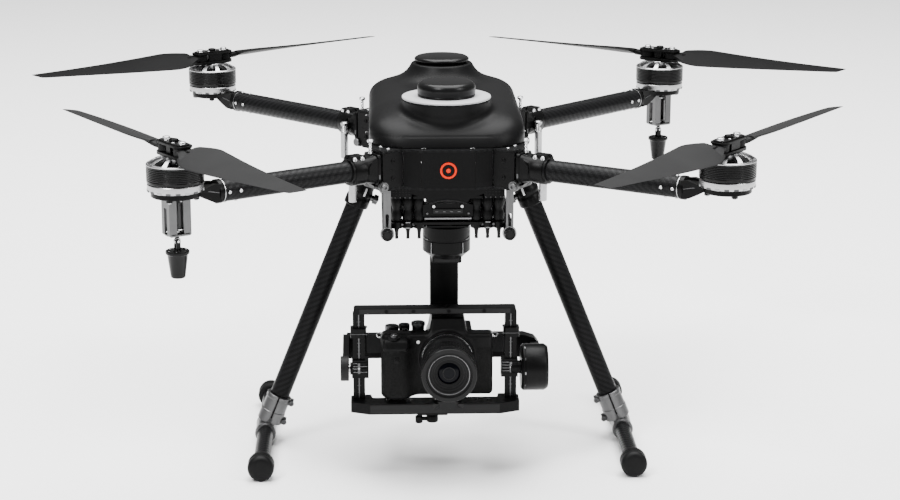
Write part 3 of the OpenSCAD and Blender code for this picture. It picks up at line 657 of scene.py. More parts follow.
def hinge_brackets():
    p = Piece("hinge_blocks", "airframe", "anodised")
    nut = Piece("hinge_bolts", "airframe", "sheet_metal")
    for key in CORNERS:
        p.place = nut.place = arm_frame(key)
        s = SIGN[key][1]
        p.box((-28, -14.2, 360.6), (-6.8, 14.2, 401.8))
        p.pair([(-28, 360.7), (-28, 395), (-22, 401.8), (-1, 401.8), (-1, 370.2), (3.6, 367.6),
                (5.5, 363.5), (3.9, 359.6), (0, 358), (-6, 358.6), (-8, 360.7)], 6.4, 15)
        for e in (-1, 1):
            for z in (372, 392):
                p.screw((-15, e * 15, z), (0, e, 0), 2.4, 1.3, "anodised")
            p.block((-12, e * 15, 382), (9, 0.7, 1.2), "anodised")
            p.screw((-13, e * 8, 404.4), (0, 0, 1), 2.4, 1.5, "steel")
        p.box((-7, -14, 372), (-1.2, 14, 401.8))
        # pin, knurled nut with its screw head, and the head at the other end
        nut.rod((0, -17, PIN_Z), (0, 17, PIN_Z), 2.95)
        a, b = (0, -s * 15.1, PIN_Z), (0, -s * 22, PIN_Z)
        tooth = ((6.2, 0), (6.2, 0.5), (5.75, 0.55), (5.75, 0.95))
        star = [(r, (k + t) * math.pi / 12) for k in range(24) for r, t in tooth]
        nut.prism([(r * math.cos(t), r * math.sin(t)) for r, t in star], 0, 4.2, at=aim(a, b))
        nut.lathe([(0, 4), (4.6, 4), (4.6, 5.6), (3.9, 6.8), (1.9, 6.8), (1.9, 5.2), (0, 5.2)], at=aim(a, b),
                  count=32)
        nut.rod((0, s * 15.1, PIN_Z), (0, s * 18, PIN_Z), 5, chamfer=0.6)
    p.done(["hinge_brackets"], 0.5)
    nut.done(["hinge_pins"], 0.15)


def rounded(w, h, r, steps=5):
    """Outline of a w by h rectangle with round corners, centred on the origin."""
    out = []
    for cx, cy, a in ((1, 1, 0), (-1, 1, 90), (-1, -1, 180), (1, -1, 270)):
        for k in range(steps + 1):
            t = math.radians(a + 90 * k / steps)
            out.append((cx * (w / 2 - r) + r * math.cos(t), cy * (h / 2 - r) + r * math.sin(t)))
    return out


def tube_clamp(p, s):
    """Inner end of an arm; s is the arm's side in y."""
    # flange against the hinge block, then a body that runs from square to round
    p.prism([(y, z + 383.3) for y, z in rounded(30, 35.4, 4)], 1.5, 5.2, at=YZ)
    square = rounded(29, 33, 7, 7)
    sleeve = []
    for x, f in ((5.0, 0.0), (9.0, 0.35), (13.0, 0.75), (17.0, 0.96), (20.0, 1.0)):
        ring = []
        for y, z in square:
            t = math.atan2(z, y)
            ring.append((x, y * (1 - f) + 16 * math.cos(t) * f, 383.2 + z * (1 - f) + 16 * math.sin(t) * f))
        sleeve.append(ring)
    p.loft(sleeve)
    p.lathe([(12.6, 0), (16, 0), (16.3, 0.4), (16.3, 14.6), (15.9, 15.2), (15.2, 15.4), (15.2, 18),
             (14.6, 18.4), (12.6, 18.4)], at=aim((19.6, 0, ARM_Z), (38, 0, ARM_Z)), count=64)
    # split ears with two clamping screws
    p.pair([(16, 394), (16, 398), (19, 401.4), (35, 401.4), (38, 398), (38, 394)], 0.9, 7.2)
    for x in (22.5, 32.5):
        p.screw((x, -s * 7.2, 398.0), (0, -s, 0), 2.7, 2.0, "steel")
        p.drum(2.6, 0, 1.8, "steel", aim((x, s * 7.2, 398), (x, s * 9, 398)), 6)
    # stiffening webs on both flanks
    p.pair([(5, 376), (5, 397), (8, 397), (17, 388), (17, 380)], 13.2, 14.6)
    for e in (-1, 1):
        p.block((3.4, e * 14.6, 375.5), (2.2, 1.4, 5), "dark_steel")
    # hinge knuckle under the block
    p.prism([(-3.9, 359.6), (0, 358), (3.9, 359.6), (5.5, 363.5), (9, 366), (9, 372), (2, 372), (-3.2, 368),
             (-5.5, 363.5)],
            -5.9, 5.9, at=XZ)


def lock_post(p, s):
    # standing lock screw with a thread
    p.lathe([(0, 0), (2.6, 0), (2.6, 2.2), (1.9, 2.4)]
            + knurl(1.95, 0.32, 2.6, 0.55, 19)
            + [(1.9, 13.2), (3.4, 13.4), (3.8, 14.0), (3.8, 15.8), (3.0, 16.8), (1.4, 17.2), (0, 17.2)],
            "steel", shift(6, 0, 400.8), 24)
    # lock bar with a knurled collar near its top
    bar = [(0, 341.6), (4.2, 341.6), (4.7, 342.2), (4.7, 374.2), (4.3, 374.6)]
    bar += knurl(4.62, 0.3, 375, 0.5, 17)
    bar += [(4.3, 383.6), (4.7, 384.0), (4.7, 386.4), (3.6, 387.6), (0, 388.4)]
    p.lathe(bar, "silver", shift(17.3, s * 20.8, 0), 36)
    p.block((17.3, s * 15.8, 382), (7, 3.2, 9))
    p.screw((17.3, s * 25.4, 381), (0, s, 0), 1.6, 0.1, "dark_steel")


def motor_fork(p, reach):
    """Outer end of an arm, reach millimetres from the hinge pin."""
    # plug, fork cheeks and motor plate
    p.lathe([(0, 0), (11, 0), (11, 26), (13.4, 26), (13.5, 26.4), (13.5, 31.4), (12.6, 32), (0, 32)],
            at=aim((reach - 80, 0, ARM_Z), (reach, 0, ARM_Z)), count=48)
    p.tube(12.7, 13.1, 0, 0.8, "silver", aim((reach - 55.2, 0, ARM_Z), (reach, 0, ARM_Z)), 64)
    cheek = [(-50, 373), (-50, 393), (-42, 394), (-32, 391), (-20, 391), (-20, 385), (-30, 379), (-40, 374)]
    p.pair([(reach + x, z) for x, z in cheek], 6.4, 12)
    for e in (-1, 1):
        p.wire([(reach + x, e * 12.1, z) for x, z in ((-47, 384), (-36, 386.5), (-26, 388))], 0.5,
               "dark_steel")
    p.prism([(reach - 44, -11), (reach - 16, -15), (reach - 16, 15), (reach - 44, 11)], 386.2, 390.9)
    p.lathe([(0, 384.2), (9, 384.2), (10, 385.6), (20, 385.6), (22, 384.4), (26, 384.4), (27, 385.2),
             (27, 390.2), (26.4, 390.9), (0, 390.9)], at=shift(reach, 0, 0), count=72)
    for k in range(4):
        spot = shift(reach, 0, 0) @ turn(45 + 90 * k)
        p.lathe([(0, 380.6), (1.5, 380.6), (2.0, 381.0), (2.0, 385), (0, 385)], "steel", spot @ shift(23), 16)
        p.lathe([(0, 381.8), (3.4, 381.8), (3.6, 382.2), (3.6, 385), (0, 385)], None, spot @ shift(23), 6)
    # screws round the tube's outer end
    for x in (reach - 60, reach - 74):
        for a in (90, 0, 180, -90):
            way = Vector((0, math.cos(math.radians(a)), math.sin(math.radians(a))))
            p.screw(Vector((x, 0, ARM_Z)) + way * 12.5, way, 1.9, 1.1, "steel")


def arm_fittings(key):
    p = Piece("arm_fittings_" + key + "_skin", "arm_" + key, "anodised", place=arm_frame(key))
    side = SIGN[key][1]
    tube_clamp(p, side)
    lock_post(p, side)
    motor_fork(p, arm_length(key))
    p.done(["arm_fittings_" + key], 0.45)


def arm_tube(key):
    p = Piece("arm_tube_" + key + "_skin", "arm_" + key, "tube", place=arm_frame(key))
    p.pipe((6, 0, ARM_Z), (arm_length(key) - 54, 0, ARM_Z), 12.5, 11, count=96, woven=True)
    p.done(["arm_tube_" + key], 0.2)


# ---------------------------------------------------------------- motors and propellers

def stator(key):
    p = Piece("stator_" + key + "_skin", "arm_" + key, "silver", place=motor_place(key))
    p.lathe([(3.06, 391), (22, 391), (22, 392.6), (26.8, 392.6), (27.2, 391), (29.4, 391), (30.6, 392.2),
             (30.8, 394), (30.8, 398.6), (30.2, 399.4), (12.4, 399.4), (12, 418.6), (3.06, 418.6)], count=96)
    for k in range(8):
        at = turn(k * 45 + 10)
        p.box((21.6, -3.4, 390.9), (27.4, 3.4, 393.0), "motor", at)
        p.screw((24.6, 0, 391.2), (0, 0, -1), 1.3, 0.2, "dark_steel", at @ turn(22.5))
    for k in range(18):
        p.block((30.5, 0, 392.2), (1.2, 5.2, 2.0), "dark_steel" if k % 3 else "silver", turn(k * 20))
    teeth = 12
    for k in range(teeth):
        at = turn(k * 360 / teeth + 15)
        p.box((11, -1.5, 402), (21.6, 1.5, 415), "dark_steel", at)
        p.prism([(21.4, -5), (24.3, -5.2), (24.6, 0), (24.3, 5.2), (21.4, 5)], 401.4, 415.8, "dark_steel", at)
        for j in range(4):
            x = 13.0 + 2.1 * j
            w = 2.0 + 0.28 * j
            p.prism([(y, z + 408.5) for y, z in rounded(2 * w, 15, 1.5, 3)], x, x + 1.9, "copper", at @ YZ)
    p.done(["stator_" + key], 0.2)


def motor_bell(key):
    p = Piece("motor_bell_" + key + "_skin", "rotor_" + key, "motor", place=motor_place(key))
    outer = [(30.9, 400.5), (31.3, 401.0), (31.3, 403.4)]
    for k in range(8):
        z = 404.0 + 1.9 * k
        outer += [(30.7, z), (30.7, z + 0.55), (31.35, z + 0.85), (31.35, z + 1.6)]
    outer += [(31.35, 419.4), (30.9, 419.8), (26.6, 419.8), (26.4, 400.5)]
    p.lathe(outer, count=112)
    for k in range(24):
        p.block((26.1, 0, 410), (0.9, 5.4, 16), "dark_steel", turn(k * 15))
    p.lathe([(26.4, 419.6), (31.0, 419.6), (31.4, 420.0), (31.4, 420.8), (30.6, 421.6), (26.8, 421.8),
             (26.4, 421.2)], "silver", count=112)
    spokes = 10
    for k in range(spokes):
        at = turn(k * 360 / spokes)
        p.loft([[(x, y0 + w * a, z) for a, z in ((-1, zl), (1, zl), (1, zh), (-1, zh))]
                for x, y0, w, zl, zh in ((10, 0, 2.6, 423.4, 428.2), (15, 0.5, 2.1, 422.6, 428.0),
                                         (20, 0.7, 2.0, 421.4, 427.0), (25.5, 0.5, 2.3, 420.4, 424.8),
                                         (29.8, 0, 3.0, 420.2, 421.8))], "silver", at)
    p.lathe([(0, 421.5), (12.2, 421.5), (13, 422.2), (13, 427.4), (12.2, 428.4), (0, 428.4)], "silver",
            count=56)
    p.lathe([(26.2, 419.2), (12.6, 419.6), (12.6, 420.6), (26.2, 420.2)][::-1], "motor", count=72)
    p.rod((0, 0, 392), (0, 0, 428.5), 3, "steel")
    for x, y in circle(7.2, 4):
        p.screw((x, y, 427.0), (0, 0, 1), 1.7, 1.2, "dark_steel")
    p.done(["motor_bell_" + key], 0.16)


HUB_Z, HUB_PLATE, HUB_GAP, PIVOT_R = 428.5, 3.5, 9.2, 18.0
BLADE_MID = HUB_Z + HUB_PLATE + HUB_GAP / 2
BLADE_FULL = HUB_GAP - 0.6
PROP_R = 263.4


def stadium(length, r):
    """Outline of a slot shape whose round ends have their middles length apart."""
    out, steps = [], 14
    for s in (1, -1):
        for k in range(steps + 1):
            t = math.radians(-90 + 180 * k / steps)
            out.append((s * (length / 2 + r * math.cos(t)), s * r * math.sin(t)))
    return out


def prop_hub(key):
    p = Piece("prop_hub_" + key + "_skin", "rotor_" + key, "anodised",
              place=motor_place(key) @ turn(PROP_TURN[key]))
    top = HUB_Z + HUB_PLATE + HUB_GAP
    p.prism(stadium(36, 11), HUB_Z, HUB_Z + HUB_PLATE)
    p.prism(stadium(36, 11), top, top + 2.2)
    p.prism(stadium(34, 8.6), top + 2.0, top + HUB_PLATE)
    p.box((-9, -9.6, HUB_Z + HUB_PLATE), (-6.4, 9.6, top), at=turn(90))
    p.box((6.4, -4.6, HUB_Z + HUB_PLATE), (7.6, 4.6, top), at=turn(90))
    p.rod((0, 0, HUB_Z + HUB_PLATE), (0, 0, top), 6)
    for s in (-1, 1):
        p.rod((s * 18, 0, HUB_Z + HUB_PLATE), (s * 18, 0, top), 2.45, "steel")
        p.lathe([(0, 0), (4.6, 0), (4.6, 0.5), (4.1, 0.6), (4.2, 2.2), (3.6, 2.8), (2.1, 2.8), (2.1, 1.2),
                 (0, 1.2)],
                "steel", shift(s * 18, 0, top + HUB_PLATE), 28)
        p.drum(4.0, 0, 1.6, "steel", shift(s * 18, 0, HUB_Z - 1.6), 6)
        for y in (5.6, -5.6):
            p.screw((s * 8.5, y, top + HUB_PLATE), (0, 0, 1), 1.7, 1.1, "steel")
    p.lathe([(0, 0), (5, 0), (5, 2.0), (4.2, 3), (0, 3)], None, shift(0, 0, top + HUB_PLATE), 32)
    p.done(["prop_hub_" + key], 0.35)


ROOT_CHORD, FULL_CHORD, TIP_CHORD, WIDEST, FOIL_START = 30.0, 50.0, 17.0, 0.16, 14.0


def chord_at(t):
    """Blade's width at t, from 0 at the start of the foil to 1 at the tip."""
    if t < WIDEST:
        return ROOT_CHORD + (FULL_CHORD - ROOT_CHORD) * math.sin(math.pi / 2 * t / WIDEST)
    return FULL_CHORD - (FULL_CHORD - TIP_CHORD) * ((t - WIDEST) / (1 - WIDEST)) ** 1.1


def blade(key, letter):
    sx, sy = SIGN[key]
    hand = 1 if sx * sy > 0 else -1
    name = "blade_" + key + "_" + letter
    look = "blade_grey" if sy < 0 else "blade_black"
    half_turn = 180 if letter == "b" else 0
    place = motor_place(key) @ turn(PROP_TURN[key] + half_turn) @ shift(PIVOT_R, 0, BLADE_MID)
    p = Piece(name + "_skin", name, look, place=place)
    sides = 28
    rings = []
    stations = [0.0, 0.012, 0.03] + [0.05 + 0.95 * k / 40 for k in range(41)]
    for t in stations:
        run = FOIL_START + t * (PROP_R - PIVOT_R - FOIL_START)
        chord, twist = chord_at(t), math.radians(18 - 11 * t)
        thick = 7.5 - 5.7 * t ** 0.6
        if t < 0.012:
            chord, thick = chord * 0.97, thick * 0.8
        ring = []
        for k in range(sides):
            a = 2 * math.pi * k / sides
            y = 0.5 * math.cos(a)
            z = 0.5 * math.sin(a) * (1 + 0.45 * math.cos(a))
            cy = y * chord - 0.06 * FULL_CHORD * math.sin(math.pi * t)
            cz = z * thick * (0.5 if z < 0 else 1) * (0.55 if t == 1 else 1)
            cut = -6 * (0.5 - y) * max(0.0, (t - 0.94) / 0.06)
            ring.append((run + cut, hand * (cy * math.cos(twist) - cz * math.sin(twist)),
                         cy * math.sin(twist) + cz * math.cos(twist) + 1.5 * t))
        rings.append(ring[::hand])
    p.loft(rings)
    h = BLADE_FULL / 2
    # round root eye that blends into the foil through a wedge
    eye = [(2.55, -h), (8.9, -h), (9.5, -h + 0.6), (9.5, h - 0.6), (8.9, h), (2.55, h)]
    p.lathe(eye, count=40)
    wedge = []
    for x, w, up, down, lean in ((0, 8.6, h - 0.8, h - 0.8, 0), (8, 9.4, h - 0.9, h - 0.9, 3),
                                 (14, 12.0, 3.6, 3.6, 10), (21, 15.5, 2.4, 2.2, 16),
                                 (30, 17.0, 0.8, 0.6, 17.5)):
        t = math.radians(lean) * hand
        wedge.append([(x, y * math.cos(t) - z * math.sin(t), y * math.sin(t) + z * math.cos(t))
                      for y, z in ((-w, -down * 0.5), (-w * 0.6, -down), (w * 0.6, -down), (w, -down * 0.5),
                                   (w, up * 0.5), (w * 0.6, up), (-w * 0.6, up), (-w, up * 0.5))])
    p.loft(wedge)
    p.block((16.5, -2 * hand, 3.6), (9, 2.2, 0.8), "motor", at=turn(14 * hand, "X"))
    p.done([name], 0.12, 28)


# ---------------------------------------------------------------- hanging antennas

def antenna_bracket(key):
    p = Piece("antenna_bracket_" + key + "_skin", "arm_" + key, "sheet_metal",
              place=motor_place(key) @ turn(30))
    w, t, z0, z1, d = 26, 2.0, 341, 384, 20
    outline = [(-w / 2, z1), (-w / 2, z0 + 1.5), (-w / 2 + 1.5, z0), (w / 2 - 1.5, z0), (w / 2, z0 + 1.5),
               (w / 2, z1), (w / 2 - t, z1), (w / 2 - t, z0 + t + 0.6), (w / 2 - t - 0.6, z0 + t),
               (-w / 2 + t + 0.6, z0 + t), (-w / 2 + t, z0 + t + 0.6), (-w / 2 + t, z1)]
    for lo, hi in ((-d / 2, -d / 2 + 6.6), (d / 2 - 6.6, d / 2)):
        p.prism(outline, lo, hi, at=XZ)
    p.box((-w / 2 + 0.4, -4, z0 + 0.1), (w / 2 - 0.4, 4, z0 + t - 0.1))
    for s in (-1, 1):
        for y in (-d / 2 + 0.1, d / 2 - 1.9):
            p.box((s * 8.4 - 4.4, y, 344), (s * 8.4 + 4.4, y + 1.8, z1 - 0.4))
    p.wire([(0, 0, 383), (1.4, 1, 371), (-0.8, 0, 358), (0.6, 0, 348), (0, 0, 343)], 1.0, "moulded")
    for s in (-1, 1):
        p.box((s * w / 2 - 1 - s, -4, 372), (s * w / 2 + 1 - s, 4, z1))
        p.screw((s * (w / 2 - 6), 0, z1 - 6), (0, 0, -1), 1.8, 1.4, "steel")
    p.lathe([(0, 337.4), (1.9, 337.4), (2.4, 338), (2.4, 341.4), (4.2, 341.2), (4.2, 343.4), (0, 343.4)],
            "anodised", count=24)
    p.drum(3.4, 343, 345.6, "steel", count=6)
    p.ring(3.2, 1.2, 40, 12, "steel", shift(0, 0, 334))
    p.done(["antenna_bracket_" + key], 0.25)


def antenna(key):
    p = Piece("antenna_" + key + "_skin", "antenna_" + key, "moulded", place=motor_place(key) @ turn(30))
    p.lathe([(0, 293.2), (7.0, 293), (8.0, 293.9), (8.5, 297), (11.3, 318.6), (11.9, 319.4), (13.0, 320.2),
             (13.3, 322), (13.0, 323.4), (12.0, 324.0), (10.2, 323.6), (9.2, 322.6), (5, 322.8), (3, 324.8),
             (0, 325)], count=56)
    for s in (-1, 1):
        p.prism([(-2.6, 322.5), (2.6, 322.5), (2.4, 334), (1.5, 336), (-1.5, 336), (-2.4, 334)],
                s * 2.6 - 0.9, s * 2.6 + 0.9, at=XZ)
        p.screw((0, s * 3.4, 334), (0, s, 0), 1.5, 0.6, "steel")
    p.rod((0, -3.4, 334), (0, 3.4, 334), 1.9, "steel")
    for k in range(6):
        spot = (10.4 * math.cos(k * 1.047), 10.4 * math.sin(k * 1.047), 323.4)
        p.screw(spot, (0, 0, 1), 0.9, 0.5, "steel", count=10)
    p.done(["antenna_" + key], 0.15)


# ---------------------------------------------------------------- underside

RAIL_X, RAIL_Z = 70.5, 307.0


def rails():
    p = Piece("rails_skin", "airframe", "moulded")
    for m in SIDES:
        at = m @ aim((RAIL_X, -180, RAIL_Z), (RAIL_X, 122, RAIL_Z))
        p.lathe([(4.5, 0), (5.6, 0), (6, 0.5), (6, 301.5), (5.6, 302), (4.5, 302)], "tube", at, 64,
                woven=True)
        p.drum(4.4, 1.2, 4, None, at, 40)
        p.drum(4.4, 298, 300.8, None, at, 40)
    p.done(["rails"], 0)


def rail_hangers():
    """Keyhole strips: a ring round the rail, a slit above it, and a foot under the chassis."""
    p = Piece("rail_hangers_skin", "airframe", "sheet_metal")
    top, w, ring, bore = 356.0, 4.35, 8.2, 6.0
    for m in SIDES:
        for y in (-170, 62):
            half = [(0, top), (-w, top)]
            a0 = math.degrees(math.acos(w / ring))
            half += [(-ring * math.cos(math.radians(a)), RAIL_Z + ring * math.sin(math.radians(a)))
                     for a in np.linspace(a0, -90, 22)]
            half[-1] = (0, RAIL_Z - ring)      # both arcs end exactly on the middle line
            half += [(-bore * math.cos(math.radians(a)), RAIL_Z + bore * math.sin(math.radians(a)))
                     for a in np.linspace(-90, 72, 22)]
            half[24] = (0, RAIL_Z - bore)
            half += [(-1.5, RAIL_Z + 9), (-2.0, RAIL_Z + 20)]
            half += [(-2.0 * math.cos(math.radians(a)), RAIL_Z + 22 + 2.0 * math.sin(math.radians(a)))
                     for a in (0, 30, 60, 90)]
            for flip in (EYE, MIRROR):
                p.prism(half, -y - 4, -y, at=m @ shift(RAIL_X) @ flip @ XZ)
            p.tube(7.2, 8.1, 0, 0.5, "silver", m @ aim((RAIL_X, y, RAIL_Z), (RAIL_X, y - 9, RAIL_Z)), 48)
            p.box((RAIL_X - w, y, top), (RAIL_X + w, y + 26, 358), at=m)
            p.wire([(RAIL_X - w + 0.4, y + 2, top - 2), (RAIL_X + w - 0.4, y + 2, top - 2)], 1.8, at=m)
            p.screw((RAIL_X, y + 17, top), (0, 0, -1), 2.2, 1.2, "steel", at=m)
    p.done(["rail_hangers"], 0.2)


DAMPER_X = (33.3, 46.4, 59.5)
DAMPER_Y = (-142, -48)


def lobes(y, reach, r):
    """Edge of a strip with a round lobe at each of three dampers; a negative reach points to the rear."""
    turns = [math.radians(180 - 180 * k / 8) for k in range(9)]
    return [(x + r * math.cos(t), y - reach * math.sin(t)) for x in DAMPER_X for t in turns]


UP, LOW = 344.0, 313.0               # undersides of the two isolator plates


def damper_ends(p, m, y, face):
    """One end of both isolator plates, on side m; face is 1 in front and -1 behind."""
    # lobed ends, thicker than the plates, that hold the dampers
    for z0, z1, reach in ((UP, UP + 6, 7.5), (LOW - 4.5, LOW + 3, 9.0)):
        out = lobes(y, reach * face, 6.6)
        p.prism(out + [(66.1, y + 12 * face), (26.7, y + 12 * face)], z0, z1, at=m)
    for i in range(4):
        for j in range(3):
            x, z = 44 + i * 5.6 + 2.8 * (j % 2), UP + 1.3 + 1.7 * j
            hole = aim((x, y - 6.4 * face, z), (x, y - 9 * face, z))
            p.tube(0.45, 0.75, 0, 0.9, "dark_steel", m @ hole, 8)
    for x in (39.8, 53):
        p.screw((x, y - 5.6 * face, LOW), (0, -face, 0), 1.5, 0.8, "dark_steel", at=m)
    for z in (LOW + 3.2, LOW - 3.4):
        p.block((46.4, y - 8.9 * face, z), (5.5, 0.9, 1.0), "grey", m)
    p.rod((50, y, UP), (50, y, 358), 6, chamfer=0.6, at=m)
    p.screw((50, y, UP + 0.2), (0, 0, -1), 2.6, 1.4, at=m)


def gimbal_mount(p):
    # riser under the chassis, with an arched lower edge, and the drawer front of the gimbal's quick plate
    p.prism([(-42, 357.8), (-42, 350), (-26, 344), (-22, 339), (-12, 342), (0, 343.4), (12, 342), (22, 339),
             (26, 344), (42, 350), (42, 357.8)], 146, 150.6, at=XZ)
    p.prism([(-22, 339), (-12, 342), (0, 343.4), (12, 342), (22, 339), (22, 337.8), (12, 340.8), (0, 342.2),
             (-12, 340.8), (-22, 337.8)], 150, 151.4, "satin", XZ)
    p.prism([(-29, 322.4), (29, 322.4), (29, 336), (22, 338), (-22, 338), (-29, 336)], 138, 148, at=XZ)
    p.box((-17, -150.6, 326.6), (17, -148, 331.4), "satin")
    for x in (-13, -4, 4, 13):
        p.box((x - 1.6, -151, 328.4), (x + 1.6, -150.4, 329.2), "dark_steel")
    p.box((-27, -152, 320.0), (27, -128, 321.4), "grey")
    for s in (-1, 1):
        p.screw((s * 16.4, -148, 334.6), (0, -1, 0), 1.9, 1.6, "steel")
        p.screw((s * 24, -148, 326.0), (0, -1, 0), 1.4, 1.0, "dark_steel")
        # perforated skirts beside the riser
        p.box((s * 54 - 12, -150.4, 346.4), (s * 54 + 12, -147.4, 357.6))
        for i in range(6):
            for j in range(3):
                x, z = s * 54 - 9.5 + 3.8 * i, 349 + 3 * j
                p.tube(0.5, 0.85, 0, 0.5, "satin", aim((x, -150.4, z), (x, -160, z)), 8)
        # cable looms between the damper rows
        for k in range(3):
            p.wire([(s * (60 - 9 * k), -124 + 3 * k, 347), (s * (50 - 6 * k), -122, 337),
                    (s * (38 + 4 * k), -121, 326), (s * 34, -119, 318)], 3.4, "rubber", count=10)
    p.box((-24.5, -123.6, 303.2), (24.5, -96, 305.0))


def isolator():
    p = Piece("isolator_skin", "airframe", "anodised")
    for m in SIDES:
        for y, face in ((-142, 1), (-48, -1)):
            damper_ends(p, m, y, face)
        # long side bars and cross bars of the open plates
        for z in (UP, LOW):
            p.box((54, -142, z), (66, -48, z + 3), at=m)
            p.box((0, -150, z), (40, -128, z + 3), at=m)
            p.box((0, -62, z), (40, -42, z + 3), at=m)
            p.prism([(26, -130), (58, -104), (58, -86), (26, -60), (22, -66), (40, -95), (22, -124)], z + 0.1,
                    z + 2.9, at=m)
    p.lathe([(5.1, LOW - 10), (26.4, LOW - 10), (27, LOW - 9.4), (27, LOW + 5.4), (26.4, LOW + 6),
             (5.1, LOW + 6)],
            at=shift(0, -95), count=72)
    p.box((-24, -115, LOW + 6), (24, -75, LOW + 18))
    gimbal_mount(p)
    p.done(["isolator_plates"], 0.35)


def dampers():
    p = Piece("dampers_skin", "airframe", "rubber")
    profile = [(0, 295), (1.7, 295), (2.1, 295.6), (1.9, 299), (2.3, 304), (3.2, 307.4), (3.0, 308), (3, 316),
               (5.0, 316), (6.1, 318), (6.4, 321.4), (6.1, 325), (5.2, 328), (4.5, 330), (5.2, 332),
               (6.1, 335), (6.4, 338.6), (6.1, 342), (5.0, 344), (3, 344), (3, 345), (0, 345)]
    for m in SIDES:
        for x in DAMPER_X:
            for y in DAMPER_Y:
                p.lathe(profile, at=m @ shift(x, y), count=28)
    p.done(["dampers"], 0, 50)


# ---------------------------------------------------------------- landing gear

LEG_TOP, SKID_X, FOOT_R = (85.0, 360.0), 223.0, 16.0
LEG_LEAN = math.degrees(math.atan2(SKID_X - LEG_TOP[0], LEG_TOP[1] - FOOT_R))
LEG_LEN = math.hypot(SKID_X - LEG_TOP[0], LEG_TOP[1] - FOOT_R)
LEG = shift(LEG_TOP[0], 0, LEG_TOP[1]) @ turn(180 - LEG_LEAN, "Y")


def leg_sockets():
    p = Piece("leg_sockets_skin", "airframe", "anodised")
    for m in SIDES:
        p.prism([(x + 88, y) for x, y in rounded(32, 44, 5)], 350.2, 357.8, at=m)
        for y in (-17, 17):
            for x in (77, 99):
                p.screw((x, y, 350.4), (0, 0, -1), 2.2, 1.2, at=m)
        p.lathe([(12.1, 8), (17, 8), (17, 12), (14.2, 16), (14, 40), (14.6, 41), (15, 42), (15, 46),
                 (14.4, 47), (14.4, 50), (15, 51), (15, 61), (14.2, 62), (12.1, 62)], at=m @ LEG, count=64)
        for k in range(14):
            p.block((14.6, 0, 56), (1.0, 2.4, 8), None, m @ LEG @ turn(k * 360 / 14))
        # latch on the outer front flank, and the thumb screw on the inner one
        flank = m @ LEG @ turn(16)
        p.block((0, -14.4, 34), (6, 3.0, 24), None, flank)
        p.block((0, -15.6, 40), (2.6, 1.8, 11), "silver", flank)
        p.block((0, -15.6, 25), (4.2, 1.4, 8), "dark_steel", flank)
        thumb = m @ LEG @ shift(0, 0, 47) @ turn(90, "Y")
        p.lathe([(0, 12), (4, 12), (4, 17), (6.2, 17.4), (6.2, 22.4), (5.4, 23.2), (0, 23.2)], "dark_steel",
                thumb, 14)
        p.drum(2.4, 23, 24, "steel", thumb, 20)
    p.done(["leg_sockets"], 0.4)


def leg_tubes():
    p = Piece("leg_tubes_skin", "airframe", "tube")
    for m in SIDES:
        p.tube(10.5, 12, 12, LEG_LEN - 15, at=m @ LEG, count=96, woven=True)
        p.tube(8.2, 9.75, 0, 292,
                at=m @ aim((SKID_X, -146, FOOT_R), (SKID_X, 146, FOOT_R)), count=80, woven=True)
    p.done(["leg_tubes"], 0)


def skid_tees():
    p = Piece("skid_tees_skin", "airframe", "sheet_metal")
    for m in SIDES:
        at = m @ LEG @ shift(0, 0, LEG_LEN)
        p.lathe([(12.05, -48), (15.0, -48), (15.5, -47.4), (15.5, -43), (14.9, -42.4), (14.9, -27),
                 (15.5, -26.4), (15.5, -12), (12.05, -12)], at=at, count=64)
        p.pipe((SKID_X, -22, FOOT_R), (SKID_X, 22, FOOT_R), 12.6, 9.8, at=m, count=64)
        for y in (-20.2, 17.0):
            p.pipe((SKID_X, y, FOOT_R), (SKID_X, y + 3.2, FOOT_R), 13, 12.4, at=m, count=64)
        # gussets between leg and skid, the clamp's split and its screws
        for s in (-1, 1):
            p.loft([[(x, s * (y + w), z) for y, z in ((8, -34), (14.5, -24), (20, -4), (10, -4), (4, -20))]
                    for x, w in ((-1.6, 0), (1.6, 0))], at=at)
        p.box((-1.0, -15.75, -48.2), (1.0, -14.2, -12), "motor", at)
        for z in (-43, -17):
            for s in (-1, 1):
                p.block((15.4, s * 2.6, z), (7.6, 2.6, 8.4), None, at)
            p.rod((17.4, -6.6, z), (17.4, 6.0, z), 2.0, "dark_steel", at)
            p.drum(3.4, 0, 2.6, "dark_steel", at @ aim((17.4, -4.0, z), (17.4, -8, z)), 12)
    p.done(["skid_tees"], 0.3)


def skid_feet():
    p = Piece("skid_feet_skin", "airframe", "rubber")
    profile = [(0, 0.1), (9.5, 0.1), (12.4, 0.7), (14.6, 2.2), (15.6, 4.4), (15.9, 7)]
    for z in (11, 15.2):       # two grooves
        profile += [(15.9, z), (15.3, z + 0.3), (15.3, z + 1.3), (15.9, z + 1.6)]
    profile += [(15.9, 21), (15, 24.6), (13, 26), (9.8, 26), (9.8, 8), (0, 8)]
    for m in SIDES:
        for s in (-1, 1):
            p.lathe(profile, at=m @ aim((SKID_X, s * 154, FOOT_R), (SKID_X, 0, FOOT_R)), count=64)
    p.done(["skid_feet"], 0, 40)


# ---------------------------------------------------------------- gimbal

PAN_Y, TILT_Y, TILT_Z, ROLL_Z = -95.0, -115.0, 129.0, 138.0


